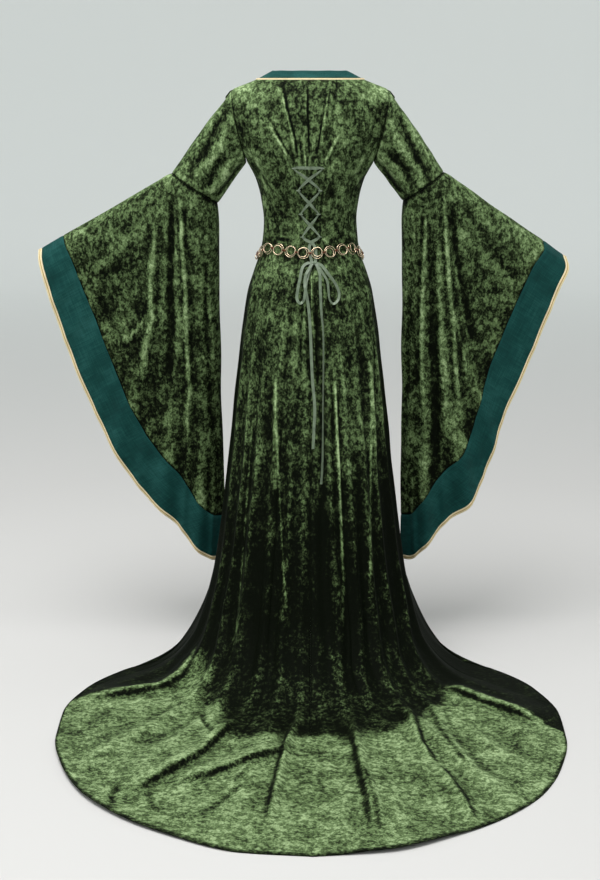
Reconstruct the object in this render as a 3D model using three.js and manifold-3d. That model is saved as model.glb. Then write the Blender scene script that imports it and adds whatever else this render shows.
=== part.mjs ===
// Medieval costume dress in crushed velvet, worn and hollow: a princess-seamed gown without a waist seam, whose back
// spreads into a round train, with bell sleeves bordered in plain cloth, a banded neckline, a laced back and a ring belt.
// Heights in the tables are above the floor. The group is lowered at the end, so that the origin is where the
// wearer's shoulders hold the dress. +Z is up, the front faces -Y and +X is the wearer's left.
import * as THREE from "three";
import { mergeVertices } from "three/addons/utils/BufferGeometryUtils.js";
import Module from "manifold-3d";

// Driving dimensions, in millimetres
const HELD_HEIGHT = 1472; // the shoulder points, above the floor
const CLOTH = 2; // wall of the velvet and of the plain cloth
const SEAM = 0.3; // gap between neighbouring pieces
const NECK_HALF_WIDTH = 133;
const NECK_HEIGHT = 1495; // of the neckline at the back and the sides
const NECK_DROP = 113; // how much lower it is at the front
const BAND_TOP = 1516;
const BAND_HALF_WIDTH = 93;
const BAND_DROP = 92;
const ARMPIT_HEIGHT = 1290;
const BEND_HEIGHT = 160; // where the skirt starts to turn out over the floor
const BEND_REACH = 150; // how far out that turn runs before the cloth lies flat
const BEND_SHARE = 0.48; // that turn's share of the rows between the bend and the hem
const UPPER_ARM_DEPTH = 55; // half of the elbow seam's depth, front to back
const BINDING_WIDTH = 11;
const BINDING_EXTRA = 0.7; // how much the binding stands over the border on each face
const PIPING_WIDTH = 7;
const PIPING_THICKNESS = 1.6;
const LACE_WIDTH = 7.4;
const LACE_THICKNESS = 1.2;
const KNOT = { x: -9, z: 1045, off: 4.6, halfWidth: 9, halfHeight: 5, halfDepth: 4.2 };
const BELT_UNITS = 22;
const RING_RADIUS = 14; // to the middle of the wire
const RING_WIRE = 1.1;
const INNER_RING_RADIUS = 10.3; // of the narrow turn of the same wire
const RING_LIFT = 1.3; // how far the two turns lie apart, front to back, where they cross
const LINK_WIRE = 0.75;
const LINK_REACH = 1.5; // past the edges of the two rings it joins
const LINK_HALF_DEPTH = 3.7;
const LINK_SHIFT = 1.6; // from the middle of the gap towards the next ring, because it is fast to its own ring

// Sections of the body and skirt: half width, and how far the back and the front lie from the side seams' plane
const SECTIONS = [
  { z: 0, half: 325, back: 425, front: 250 },
  { z: 80, half: 296, back: 372, front: 222 },
  { z: 160, half: 273, back: 325, front: 204 },
  { z: 250, half: 249, back: 286, front: 187 },
  { z: 400, half: 226, back: 236, front: 166 },
  { z: 575, half: 206, back: 195, front: 149 },
  { z: 735, half: 190, back: 166, front: 136 },
  { z: 890, half: 171, back: 146, front: 122 },
  { z: 965, half: 160, back: 134, front: 113 },
  { z: 1020, half: 143, back: 117, front: 104 },
  { z: 1060, half: 129, back: 98, front: 97 },
  { z: 1100, half: 121, back: 87, front: 92 },
  { z: 1145, half: 118, back: 84, front: 91 },
  { z: 1195, half: 124, back: 91, front: 99 },
  { z: 1245, half: 136, back: 99, front: 115 },
  { z: 1290, half: 160, back: 104, front: 124 },
  { z: 1325, half: 184, back: 104, front: 122 },
  { z: 1360, half: 208, back: 102, front: 113 },
  { z: 1410, half: 221, back: 95, front: 97 },
  { z: 1450, half: 219, back: 82, front: 80 },
  { z: 1466, half: 203, back: 74, front: 71 },
  { z: 1472, half: 191, back: 71, front: 67 },
  { z: 1478, half: 176, back: 67, front: 63 },
  { z: 1486, half: 155, back: 62, front: 58 },
  { z: 1495, half: 133, back: 55.5, front: 51 },
  { z: 1505, half: 114, back: 43, front: 42 },
  { z: 1516, half: 93, back: 27, front: 30 },
];
// Armhole seam: distance from the middle
const ARMHOLE = [
  { z: 1290, x: 160 },
  { z: 1325, x: 169 },
  { z: 1360, x: 179 },
  { z: 1410, x: 189 },
  { z: 1450, x: 195 },
  { z: 1466, x: 196.5 },
  { z: 1472, x: 191 },
];
// Back princess seams, from the neckline past the lacing loops to the floor: distance from the middle
const PRINCESS = [
  { z: 0, x: 110 },
  { z: 400, x: 84 },
  { z: 735, x: 66 },
  { z: 890, x: 54 },
  { z: 1000, x: 38 },
  { z: 1060, x: 28 },
  { z: 1110, x: 24 },
  { z: 1167, x: 26 },
  { z: 1226, x: 32 },
  { z: 1281, x: 41 },
  { z: 1410, x: 58 },
  { z: 1495, x: 66 },
];
// Side seams: degrees round from the middle of the back
const SIDE_SEAM = [
  { z: 0, left: 80, right: 73 },
  { z: 400, left: 87, right: 85 },
  { z: 900, left: 90, right: 90 },
];
// Outline of the hem on the floor, by degrees round from the middle of the back
const HEM = [
  { turn: 0, x: 0, y: 1224 },
  { turn: 10, x: 150, y: 1206 },
  { turn: 20, x: 292, y: 1134 },
  { turn: 30, x: 405, y: 1048 },
  { turn: 40, x: 497, y: 935 },
  { turn: 50, x: 557, y: 795 },
  { turn: 60, x: 592, y: 640 },
  { turn: 70, x: 598, y: 480 },
  { turn: 80, x: 562, y: 315 },
  { turn: 88, x: 490, y: 195 },
  { turn: 95, x: 405, y: 122 },
  { turn: 103, x: 338, y: 40 },
  { turn: 115, x: 297, y: -62 },
  { turn: 132, x: 242, y: -154 },
  { turn: 155, x: 137, y: -230 },
  { turn: 180, x: 0, y: -254 },
];
// Places on the cloth are degrees round the foot of the skirt, from the middle of the back towards the wearer's left.
// The seams keep their places at every height
const PRINCESS_PLACE = 20;
const SIDE_PLACE = 86;
// Hanging folds: place, width in degrees, and depth in millimetres on the foot of the skirt and on the train
const FOLDS = [
  { at: 4, width: 9, skirt: 16, train: 5 },
  { at: 13, width: 8, skirt: 22, train: 16 },
  { at: 24, width: 9, skirt: 20, train: 7 },
  { at: 37, width: 10, skirt: 26, train: 14 },
  { at: 50, width: 10, skirt: 26, train: 15 },
  { at: 64, width: 11, skirt: 24, train: 10 },
  { at: 79, width: 12, skirt: 16, train: 14 },
  { at: 103, width: 17, skirt: 9, train: 4 },
  { at: 128, width: 16, skirt: 16, train: 4 },
  { at: 152, width: 15, skirt: 18, train: 4 },
  { at: 176, width: 16, skirt: 15, train: 4 },
  { at: 200, width: 15, skirt: 18, train: 4 },
  { at: 225, width: 16, skirt: 17, train: 4 },
  { at: 252, width: 17, skirt: 10, train: 4 },
  { at: 281, width: 12, skirt: 18, train: 16 },
  { at: 296, width: 11, skirt: 26, train: 11 },
  { at: 310, width: 10, skirt: 24, train: 8 },
  { at: 323, width: 9, skirt: 26, train: 16 },
  { at: 335, width: 9, skirt: 22, train: 8 },
  { at: 347, width: 8, skirt: 24, train: 15 },
  { at: 356, width: 7, skirt: 12, train: 6 },
];
// Share of a fold's skirt depth that shows at each height
const FOLD_GROWTH = [
  { z: 0, share: 1 },
  { z: 160, share: 0.9 },
  { z: 400, share: 0.62 },
  { z: 650, share: 0.36 },
  { z: 860, share: 0.14 },
  { z: 1010, share: 0 },
];
const TROUGH_INSET = 8; // how far the troughs lie inside the sections, which the ridges reach

// Rows of the body panels: shoulder, armhole and below it, then shares of the way from the bend out to the hem
const SHOULDER_ROWS = [NECK_HEIGHT, 1486, 1478];
const ARMHOLE_STEPS = 8;
const ARMHOLE_ROWS = Array.from({ length: ARMHOLE_STEPS + 1 }, (_, i) => {
  const wave = Math.cos((i * Math.PI) / ARMHOLE_STEPS);
  return (HELD_HEIGHT * (1 + wave) + ARMPIT_HEIGHT * (1 - wave)) / 2;
});
const BODY_ROWS = [1245, 1195, 1168, 1145, 1120, 1090, 1060, 1020, 965, 890, 780, 660, 530, 400, 280, BEND_HEIGHT];
const TRAIN_ROWS = [0.14, 0.27, 0.38, BEND_SHARE, 0.6, 0.75, 0.9, 1];
const GOWN_ROWS = [...SHOULDER_ROWS, ...ARMHOLE_ROWS, ...BODY_ROWS, ...TRAIN_ROWS.map((share) => -share)];

// Elbow seam of each sleeve: its upper and lower point as distance from the middle and height, and how far forward the
// elbow, wrist and lowest tip are
const SLEEVES = {
  left: { upper: [352, 1262], lower: [235, 1186], elbowY: -20, wristY: -70, tipY: -118 },
  right: { upper: [340, 1265], lower: [236, 1192], elbowY: -20, wristY: -70, tipY: -118 },
};
// Outer edge of the sleeves from the top of the wrist (share 0) to the lowest tip (share 1): distance from the middle,
// height, half of the depth there, and the border's width along the cloth
const SLEEVE_EDGE = [
  { share: 0, leftX: 706, leftZ: 1061, rightX: 668, rightZ: 1043, depth: 0, border: 78 },
  { share: 0.04, leftX: 703, leftZ: 1035, rightX: 672, rightZ: 1018, depth: 27, border: 84 },
  { share: 0.1, leftX: 689, leftZ: 981, rightX: 650, rightZ: 966, depth: 40, border: 95 },
  { share: 0.2, leftX: 661, leftZ: 885, rightX: 616, rightZ: 875, depth: 38, border: 109 },
  { share: 0.32, leftX: 623, leftZ: 770, rightX: 572, rightZ: 757, depth: 34, border: 126 },
  { share: 0.45, leftX: 567, leftZ: 627, rightX: 516, rightZ: 620, depth: 34, border: 138 },
  { share: 0.58, leftX: 505, leftZ: 498, rightX: 481, rightZ: 500, depth: 36, border: 142 },
  { share: 0.7, leftX: 427, leftZ: 387, rightX: 436, rightZ: 386, depth: 36, border: 142 },
  { share: 0.8, leftX: 360, leftZ: 322, rightX: 368, rightZ: 325, depth: 33, border: 138 },
  { share: 0.9, leftX: 300, leftZ: 240, rightX: 312, rightZ: 252, depth: 27, border: 134 },
  { share: 0.97, leftX: 256, leftZ: 213, rightX: 272, rightZ: 214, depth: 15, border: 130 },
  { share: 1, leftX: 234, leftZ: 211, rightX: 250, rightZ: 213, depth: 0, border: 128 },
];
const SLEEVE_COLUMNS = 26;
const BELL_ROWS = [0, 0.12, 0.28, 0.46, 0.64, 0.82, 1];
// Hanging folds of the bells: share along the edge, width as a share, and depth there
const SLEEVE_FOLDS = {
  left: [
    { at: 0.36, width: 0.1, depth: 7 },
    { at: 0.56, width: 0.1, depth: 12 },
    { at: 0.74, width: 0.08, depth: 12 },
    { at: 0.89, width: 0.07, depth: 14 },
  ],
  right: [
    { at: 0.38, width: 0.09, depth: 6 },
    { at: 0.55, width: 0.08, depth: 12 },
    { at: 0.71, width: 0.08, depth: 22 },
    { at: 0.88, width: 0.07, depth: 19 },
  ],
};

// Lacing loops: height, and distance from the middle towards the wearer's left
const LOOPS = [
  { z: 1280, left: 40, right: -29 },
  { z: 1225, left: 29, right: -24 },
  { z: 1166, left: 23, right: -20 },
  { z: 1109, left: 19, right: -23 },
];
const LOOP_OFF = 4.3; // from the cloth to the middle of a loop's hole
// The lace between the knot's two ends, strand by strand: x, height, distance off the cloth, share of the full width
const LACING = [
  { x: -4, z: 1047, off: 2.2, width: 1 },
  { x: 1, z: 1068, off: 3, width: 1 },
  { x: 2, z: 1085, off: 3, width: 1 },
  { x: -3, z: 1096, off: 2.4, width: 1 },
  { x: -13, z: 1102, off: 2.4, width: 1 },
  { x: -23, z: 1106, off: LOOP_OFF, width: 0.5 },
  { x: -23, z: 1112, off: LOOP_OFF, width: 0.5 },
  { x: 0, z: 1138, off: 2, width: 1 },
  { x: 23, z: 1163, off: LOOP_OFF, width: 0.5 },
  { x: 23, z: 1169, off: LOOP_OFF, width: 0.5 },
  { x: 1, z: 1196, off: 2, width: 1 },
  { x: -24, z: 1222, off: LOOP_OFF, width: 0.5 },
  { x: -24, z: 1228, off: LOOP_OFF, width: 0.5 },
  { x: 6, z: 1253, off: 2, width: 1 },
  { x: 40, z: 1276, off: LOOP_OFF, width: 0.5 },
  { x: 40, z: 1284, off: LOOP_OFF, width: 0.5 },
  { x: 30, z: 1294, off: 3.6, width: 1 },
  { x: 5, z: 1293, off: 3, width: 1 },
  { x: -20, z: 1292, off: 3.6, width: 1 },
  { x: -29, z: 1284, off: LOOP_OFF, width: 0.5 },
  { x: -29, z: 1276, off: LOOP_OFF, width: 0.5 },
  { x: 4, z: 1253, off: 4.4, width: 1 },
  { x: 29, z: 1228, off: LOOP_OFF, width: 0.5 },
  { x: 29, z: 1222, off: LOOP_OFF, width: 0.5 },
  { x: 4, z: 1196, off: 4.4, width: 1 },
  { x: -20, z: 1169, off: LOOP_OFF, width: 0.5 },
  { x: -20, z: 1163, off: LOOP_OFF, width: 0.5 },
  { x: 0, z: 1138, off: 4.4, width: 1 },
  { x: 19, z: 1112, off: LOOP_OFF, width: 0.5 },
  { x: 19, z: 1106, off: LOOP_OFF, width: 0.5 },
  { x: 9, z: 1101, off: 4, width: 1 },
  { x: -3, z: 1095, off: 4.4, width: 1 },
  { x: -11, z: 1085, off: 3.6, width: 1 },
  { x: -14, z: 1068, off: 3, width: 1 },
  { x: -12.6, z: 1047, off: 2.1, width: 1 },
];
// Bow loops and free ends, from the knot: x, height and distance off the cloth
const BOW_LOOP_LEFT = [
  { x: -4, z: 1045, off: 4 },
  { x: 8, z: 1044, off: 4 },
  { x: 18, z: 1036, off: 4.2 },
  { x: 25, z: 1008, off: 4.6 },
  { x: 31, z: 978, off: 5 },
  { x: 32, z: 958, off: 5 },
  { x: 25, z: 949, off: 4.6 },
  { x: 16, z: 957, off: 4 },
  { x: 12, z: 980, off: 3 },
  { x: 9, z: 1005, off: 2.4 },
  { x: 1, z: 1030, off: 2 },
  { x: -4.6, z: 1045, off: 2 },
];
const BOW_LOOP_RIGHT = [
  { x: -14, z: 1044.5, off: 4.2 },
  { x: -27, z: 1039, off: 4.2 },
  { x: -45, z: 1017, off: 4.4 },
  { x: -62, z: 993, off: 5 },
  { x: -70, z: 971, off: 5.5 },
  { x: -67, z: 955, off: 5 },
  { x: -57, z: 947, off: 4.6 },
  { x: -48, z: 956, off: 4 },
  { x: -45, z: 980, off: 3 },
  { x: -42, z: 1003, off: 2.4 },
  { x: -27, z: 1027, off: 2 },
  { x: -13.6, z: 1045, off: 2 },
];
const LACE_END_LEFT = [
  { x: -4.8, z: 1043, off: 5.8 },
  { x: 2, z: 1032, off: 6.3 },
  { x: 11, z: 1015, off: 6.6 },
  { x: 13, z: 993, off: 6.6 },
  { x: 8, z: 964, off: 7 },
  { x: 3, z: 927, off: 6 },
  { x: 0, z: 884, off: 5 },
  { x: -5, z: 768, off: 4 },
  { x: -11, z: 690, off: 4 },
  { x: -9, z: 640, off: 4 },
  { x: -7, z: 590, off: 4 },
];
const LACE_END_RIGHT = [
  { x: -13.2, z: 1043, off: 5.8 },
  { x: -18, z: 1033, off: 6.3 },
  { x: -23, z: 1018, off: 6.6 },
  { x: -24, z: 993, off: 6.6 },
  { x: -27, z: 927, off: 6 },
  { x: -31, z: 884, off: 5 },
  { x: -32, z: 768, off: 4 },
  { x: -31, z: 652, off: 4 },
  { x: -30, z: 549, off: 4 },
  { x: -27, z: 503, off: 4 },
];
// Belt, by degrees round from the middle of the back: height, and distance off the cloth to the rings' middle
const BELT = [
  { turn: 0, z: 1068, off: 7.25 },
  { turn: 14, z: 1070, off: 7 },
  { turn: 30, z: 1074, off: 5 },
  { turn: 48, z: 1078, off: 4.8 },
  { turn: 70, z: 1069, off: 4.4 },
  { turn: 90, z: 1057, off: 3.8 },
  { turn: 135, z: 1040, off: 3.8 },
  { turn: 180, z: 1032, off: 3.8 },
];

const cloth = (colour, roughness) => new THREE.MeshStandardMaterial({ color: colour, roughness, metalness: 0 });
const velvet = cloth(0x40592f, 0.75);
const teal = cloth(0x17584f, 0.6);
const cream = cloth(0xe0cda6, 0.6);
const laceCloth = cloth(0x7c9a7c, 0.55);
const brass = new THREE.MeshStandardMaterial({ color: 0xa98a60, roughness: 0.35, metalness: 1 });

const { degToRad, radToDeg, lerp, clamp, smoothstep } = THREE.MathUtils;
const SIDES = { left: 1, right: -1 };

// A column of a table at a place between its rows, by the smooth curve that never overshoots them
function between(table, key, column, at) {
  const last = table.length - 1;
  if (at <= table[0][key]) return table[0][column];
  if (at >= table[last][key]) return table[last][column];
  const slope = (n) => (table[n + 1][column] - table[n][column]) / (table[n + 1][key] - table[n][key]);
  const tangent = (n) => {
    if (n === 0 || n === last) return slope(n === 0 ? 0 : last - 1);
    const before = slope(n - 1);
    const after = slope(n);
    return before * after <= 0 ? 0 : (2 * before * after) / (before + after);
  };
  const i = table.findIndex((row, n) => at < table[n + 1][key]);
  const step = table[i + 1][key] - table[i][key];
  const t = (at - table[i][key]) / step;
  const [a, b] = [table[i][column], table[i + 1][column]];
  const ends = a * (1 + 2 * t) * (1 - t) ** 2 + b * t * t * (3 - 2 * t);
  return ends + step * t * (1 - t) * (tangent(i) * (1 - t) - tangent(i + 1) * t);
}

// Degrees from -180 to 180
const wrapped = (turn) => ((((turn + 180) % 360) + 360) % 360) - 180;

// A point of the section at a height, by degrees round from the middle of the back towards the wearer's left
function onSection(turn, z) {
  const angle = degToRad(turn);
  const depth = between(SECTIONS, "z", Math.cos(angle) > 0 ? "back" : "front", z);
  return new THREE.Vector3(between(SECTIONS, "z", "half", z) * Math.sin(angle), depth * Math.cos(angle), z);
}

// Degrees round at which the section of that height is a given distance from the middle
const turnAt = (x, z) => radToDeg(Math.asin(clamp(x / between(SECTIONS, "z", "half", z), -1, 1)));

// The cloth before its folds. Rows above 0 are heights. Rows below 0 are minus the share of the way from the bend to
// the hem: the back curves out and lies on the floor, and the front goes straight down to it
function baseCloth(turn, row) {
  if (row >= 0) return onSection(turn, row);
  const share = -row;
  const top = onSection(turn, BEND_HEIGHT);
  const foot = onSection(turn, 0);
  const round = Math.abs(wrapped(turn));
  const side = Math.sign(wrapped(turn)) || 1;
  const hem = new THREE.Vector3(side * between(HEM, "turn", "x", round), between(HEM, "turn", "y", round), 0);
  const straight = top.clone().lerp(hem, share);
  const landing = foot.clone().lerp(hem, Math.min(0.5, BEND_REACH / Math.max(1, foot.distanceTo(hem))));
  let lying = landing.clone().lerp(hem, (share - BEND_SHARE) / (1 - BEND_SHARE));
  if (share < BEND_SHARE) {
    const t = share / BEND_SHARE;
    lying = top.clone().multiplyScalar((1 - t) ** 2);
    lying.addScaledVector(foot, 2 * t * (1 - t)).addScaledVector(landing, t * t);
  }
  return straight.lerp(lying, 1 - smoothstep(round, 86, 112));
}

// Height of the folds over the cloth at a place: one soft ridge for each row of the table
function foldHeight(place, row) {
  const out = clamp(-row, 0, 1);
  const growth = between(FOLD_GROWTH, "z", "share", Math.max(row, 0));
  const fade = 1 - 0.75 * smoothstep(out, 0.8, 1);
  const lying = smoothstep(out, 0, 0.45);
  return FOLDS.reduce((height, fold) => {
    const away = wrapped(place - fold.at) / fold.width;
    return height + lerp(fold.skirt * growth, fold.train * fade, lying) * Math.exp(-4 * away * away);
  }, -TROUGH_INSET * growth * (1 - lying));
}

// Degrees round of the side seam, and of the armhole above it
function edgeTurn(side, z) {
  if (z > ARMPIT_HEIGHT && z < HELD_HEIGHT) return turnAt(between(ARMHOLE, "z", "x", z), z);
  return between(SIDE_SEAM, "z", side > 0 ? "left" : "right", z);
}

// Degrees round of a place on the back, where the panels lie between the middle, the princess seam and the side
function backTurn(place, row) {
  const z = Math.max(row, 0);
  const side = place < 0 ? -1 : 1;
  const princess = turnAt(between(PRINCESS, "z", "x", z), z);
  const round = Math.abs(place);
  if (round <= PRINCESS_PLACE) return (side * princess * round) / PRINCESS_PLACE;
  const share = (round - PRINCESS_PLACE) / (SIDE_PLACE - PRINCESS_PLACE);
  return side * lerp(princess, edgeTurn(side, z), share);
}

// Degrees round and row of a place on the front. Above the bust its rows dip to the scooped neckline
function frontTurn(place, row) {
  const side = wrapped(place) < 0 ? -1 : 1;
  const share = (180 - Math.abs(wrapped(place))) / (180 - SIDE_PLACE);
  const bust = 1245;
  const onArmhole = row > ARMPIT_HEIGHT && row < HELD_HEIGHT;
  const reach = onArmhole ? edgeTurn(side, row) : 180 - edgeTurn(side, Math.max(row, 0));
  if (row <= bust) return [side * (180 - share * reach), row];
  const rise = (row - bust) / (NECK_HEIGHT - bust);
  const angle = degToRad(share * 90);
  const neckZ = NECK_HEIGHT - NECK_DROP * Math.cos(angle);
  const neckReach = turnAt(NECK_HALF_WIDTH * Math.sin(Math.min(angle, Math.PI / 2)), neckZ);
  return [side * (180 - lerp(share * reach, neckReach, rise ** 3)), bust + rise * (neckZ - bust)];
}

// A point of the folded cloth at a place and row, moved out by a distance
function gown(place, row, off = 0, isFront = false) {
  const point = (p, r) => {
    const [turn, level] = isFront ? frontTurn(p, r) : [backTurn(p, r), r];
    return { base: baseCloth(turn, level), level };
  };
  const step = row > 0 ? 1 : 0.01;
  const here = point(place, row);
  const down = point(place, row > 0 ? Math.max(row - step, 0.01) : Math.max(row - step, -1)).base;
  down.sub(point(place, row > 0 ? row + step : Math.min(row + step, 0)).base);
  const round = point(place + 0.3, row).base.sub(point(place - 0.3, row).base);
  const normal = round.cross(down).normalize();
  return here.base.addScaledVector(normal, foldHeight(place, here.level) + off);
}

// A point off the cloth of the back, by distance from the middle and height
function offBack({ x, z, off }) {
  const turn = turnAt(x, z);
  const side = x < 0 ? -1 : 1;
  const princess = turnAt(between(PRINCESS, "z", "x", z), z);
  const round = Math.abs(turn);
  const beyond = lerp(PRINCESS_PLACE, SIDE_PLACE, (round - princess) / (edgeTurn(side, z) - princess));
  return gown(side * (round < princess ? (PRINCESS_PLACE * round) / princess : beyond), z, off);
}

// The unit vector along the third axis of two small steps across a surface
function facing(point, u, v, du, dv) {
  const across = point(u + du, v).sub(point(u - du, v));
  return across.cross(point(u, v + dv).sub(point(u, v - dv))).normalize();
}

// A closed wall between rows of outer points and their inner partners, round a loop if asked
function wall(outer, inner, looped = false) {
  const rows = outer.length;
  const columns = outer[0].length;
  const positions = [...outer.flat(), ...inner.flat()].flatMap((p) => [p.x, p.y, p.z]);
  const at = (layer, row, column) => layer * rows * columns + row * columns + (column % columns);
  const index = [];
  const quad = (a, b, c, d) => index.push(a, b, c, a, c, d);
  const spans = looped ? columns : columns - 1;
  for (let row = 0; row < rows - 1; row++) {
    for (let column = 0; column < spans; column++) {
      quad(at(0, row, column), at(0, row + 1, column), at(0, row + 1, column + 1), at(0, row, column + 1));
      quad(at(1, row, column), at(1, row, column + 1), at(1, row + 1, column + 1), at(1, row + 1, column));
    }
  }
  const end = rows - 1;
  for (let column = 0; column < spans; column++) {
    quad(at(0, 0, column), at(0, 0, column + 1), at(1, 0, column + 1), at(1, 0, column));
    quad(at(0, end, column), at(1, end, column), at(1, end, column + 1), at(0, end, column + 1));
  }
  for (let row = 0; !looped && row < end; row++) {
    const edge = columns - 1;
    quad(at(0, row, 0), at(1, row, 0), at(1, row + 1, 0), at(0, row + 1, 0));
    quad(at(0, row, edge), at(0, row + 1, edge), at(1, row + 1, edge), at(1, row, edge));
  }
  const geometry = new THREE.BufferGeometry();
  geometry.setAttribute("position", new THREE.Float32BufferAttribute(positions, 3));
  geometry.setIndex(index);
  geometry.computeVertexNormals();
  return geometry;
}

const wasm = await Module();
wasm.setup();

// A geometry as a solid that can be joined and cut, and back
function solidOf(geometry) {
  const bare = geometry.clone();
  bare.deleteAttribute("normal");
  bare.deleteAttribute("uv");
  const merged = mergeVertices(bare, 1e-4);
  const triVerts = new Uint32Array(merged.index.array);
  return new wasm.Manifold(new wasm.Mesh({ numProp: 3, vertProperties: merged.attributes.position.array, triVerts }));
}
function geometryOf(solid) {
  const mesh = solid.getMesh();
  const geometry = new THREE.BufferGeometry();
  geometry.setAttribute("position", new THREE.BufferAttribute(mesh.vertProperties, 3));
  geometry.setIndex(new THREE.BufferAttribute(mesh.triVerts, 1));
  geometry.computeVertexNormals();
  return geometry;
}

const dress = new THREE.Group();
function add(name, geometry, material) {
  const mesh = new THREE.Mesh(geometry, material);
  mesh.name = name;
  dress.add(mesh);
}

// Columns of a panel between two places: the ridges and troughs of the folds, with wide gaps halved
function columns(from, to) {
  const ridges = FOLDS.map((fold) => fold.at);
  const troughs = FOLDS.map((fold, i) => fold.at + (((FOLDS[(i + 1) % FOLDS.length].at - fold.at + 360) % 360) / 2));
  const turned = [...ridges, ...troughs].flatMap((at) => [at - 360, at]);
  const inside = turned.filter((at) => at > from + 2 && at < to - 2).sort((a, b) => a - b);
  const places = [from, ...inside, to];
  const widest = 14;
  return places.flatMap((at, i) => (i > 0 && at - places[i - 1] > widest ? [(at + places[i - 1]) / 2, at] : [at]));
}
const COLUMNS = {
  back_side_right: columns(-SIDE_PLACE, -PRINCESS_PLACE),
  back_centre_right: columns(-PRINCESS_PLACE, 0),
  back_centre_left: columns(0, PRINCESS_PLACE),
  back_side_left: columns(PRINCESS_PLACE, SIDE_PLACE),
  front: columns(SIDE_PLACE, 360 - SIDE_PLACE),
};

// Elbow seam of a sleeve: an ellipse through its upper and lower points, made smaller by an inset
function elbowRing(name, u, inset = 0) {
  const { upper, lower, elbowY } = SLEEVES[name];
  const [x, z] = [(upper[0] - lower[0]) / 2, (upper[1] - lower[1]) / 2];
  const reach = (Math.hypot(x, z) - inset) / Math.hypot(x, z);
  const wave = Math.cos(2 * Math.PI * u) * reach;
  const y = elbowY + Math.sin(2 * Math.PI * u) * (UPPER_ARM_DEPTH - inset);
  return new THREE.Vector3(SIDES[name] * (lower[0] + x + wave * x), y, lower[1] + z + wave * z);
}

// Point of the armhole seam: step 0 is the shoulder, and the steps run down the back to the armpit and up the front
function armholePoint(name, step) {
  const side = SIDES[name];
  const isBack = step <= ARMHOLE_STEPS;
  const z = ARMHOLE_ROWS[isBack ? step : 2 * ARMHOLE_STEPS - step];
  const turn = z > ARMPIT_HEIGHT + 1e-6 && z < HELD_HEIGHT - 1e-6 ? edgeTurn(side, z) : 90;
  return onSection(side * (isBack ? turn : 180 - turn), z);
}

// The armhole's mitre: how the sleeve's wall and the body's wall share the seam
function armholeSeam(name, step) {
  const side = SIDES[name];
  const steps = 2 * ARMHOLE_STEPS;
  const point = armholePoint(name, step);
  const along = armholePoint(name, (step + 1) % steps).sub(armholePoint(name, (step + steps - 1) % steps)).normalize();
  const half = between(SECTIONS, "z", "half", point.z);
  const depth = between(SECTIONS, "z", point.y > 0 ? "back" : "front", point.z);
  const around = radToDeg(Math.atan2(point.x / half, point.y / depth));
  const bodyNormal = facing(onSection, around, point.z, 0.3, 1);
  if (bodyNormal.x * side < 0) bodyNormal.negate();
  const ruling = elbowRing(name, step / steps).sub(point).normalize();
  const sleeveNormal = along.clone().cross(ruling).normalize();
  const middle = new THREE.Vector3(side * 185, 0, (HELD_HEIGHT + ARMPIT_HEIGHT) / 2);
  if (sleeveNormal.dot(point.clone().sub(middle)) < 0) sleeveNormal.negate();
  const intoBody = along.clone().cross(bodyNormal).normalize();
  if (intoBody.x * side > 0) intoBody.negate();
  const shared = bodyNormal.clone().add(sleeveNormal).divideScalar(Math.max(0.45, 1 + bodyNormal.dot(sleeveNormal)));
  return {
    point,
    inner: point.clone().addScaledVector(shared, -CLOTH),
    apart: ruling.sub(intoBody).normalize().multiplyScalar(SEAM),
  };
}

// A body panel. Its end columns stop half a seam gap short, and those along the armhole share the sleeve's mitre
function makePanel(name) {
  const isFront = name === "front";
  const places = [...COLUMNS[name]].reverse();
  const outer = [];
  const inner = [];
  GOWN_ROWS.forEach((row, r) => {
    const points = places.map((place) => gown(place, row, 0, isFront));
    const partners = places.map((place) => gown(place, row, -CLOTH, isFront));
    const last = places.length - 1;
    const armholeStep = r - SHOULDER_ROWS.length;
    const onArmhole = armholeStep >= 0 && armholeStep <= ARMHOLE_STEPS;
    const ends = [
      [0, 1],
      [last, last - 1],
    ];
    for (const [end, next] of ends) {
      const inwards = points[next].clone().sub(points[end]).normalize().multiplyScalar(SEAM / 2);
      if (onArmhole && Math.abs(Math.abs(wrapped(places[end])) - SIDE_PLACE) < 1e-6) {
        const sleeve = wrapped(places[end]) > 0 ? "left" : "right";
        const step = isFront ? (2 * ARMHOLE_STEPS - armholeStep) % (2 * ARMHOLE_STEPS) : armholeStep;
        const seam = armholeSeam(sleeve, step);
        points[end] = seam.point;
        partners[end] = seam.inner;
      }
      points[end].add(inwards);
      partners[end].add(inwards);
    }
    for (const point of [...points, ...partners]) point.z = Math.max(point.z, 0);
    if (row === -1) points.forEach((point, i) => (point.z = partners[i].z + CLOTH));
    outer.push(points);
    inner.push(partners);
  });
  add(name, wall(outer, inner), velvet);
}

// The bell's surface: straight from the elbow seam to its outer edge. u runs from the upper line round the back to the
// lower line and on round the front, and v from the seam to the edge
function edgeShare(u) {
  const half = u <= 0.5 ? 2 * u : 2 - 2 * u;
  return (1 - Math.cos(Math.PI * half)) / 2;
}
function bellEdge(name, u) {
  const { wristY, tipY } = SLEEVES[name];
  const share = edgeShare(u);
  const depth = between(SLEEVE_EDGE, "share", "depth", share) * (u <= 0.5 ? 1 : -1);
  const x = SIDES[name] * between(SLEEVE_EDGE, "share", name + "X", share);
  return new THREE.Vector3(x, lerp(wristY, tipY, share) + depth, between(SLEEVE_EDGE, "share", name + "Z", share));
}
function bellBase(name, u, v) {
  const round = ((u % 1) + 1) % 1;
  return elbowRing(name, round).lerp(bellEdge(name, round), v);
}
function bellNormal(name, u, v) {
  const normal = facing((a, b) => bellBase(name, a, b), u, v, 0.004, 0.01);
  return SIDES[name] > 0 ? normal.negate() : normal;
}
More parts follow.
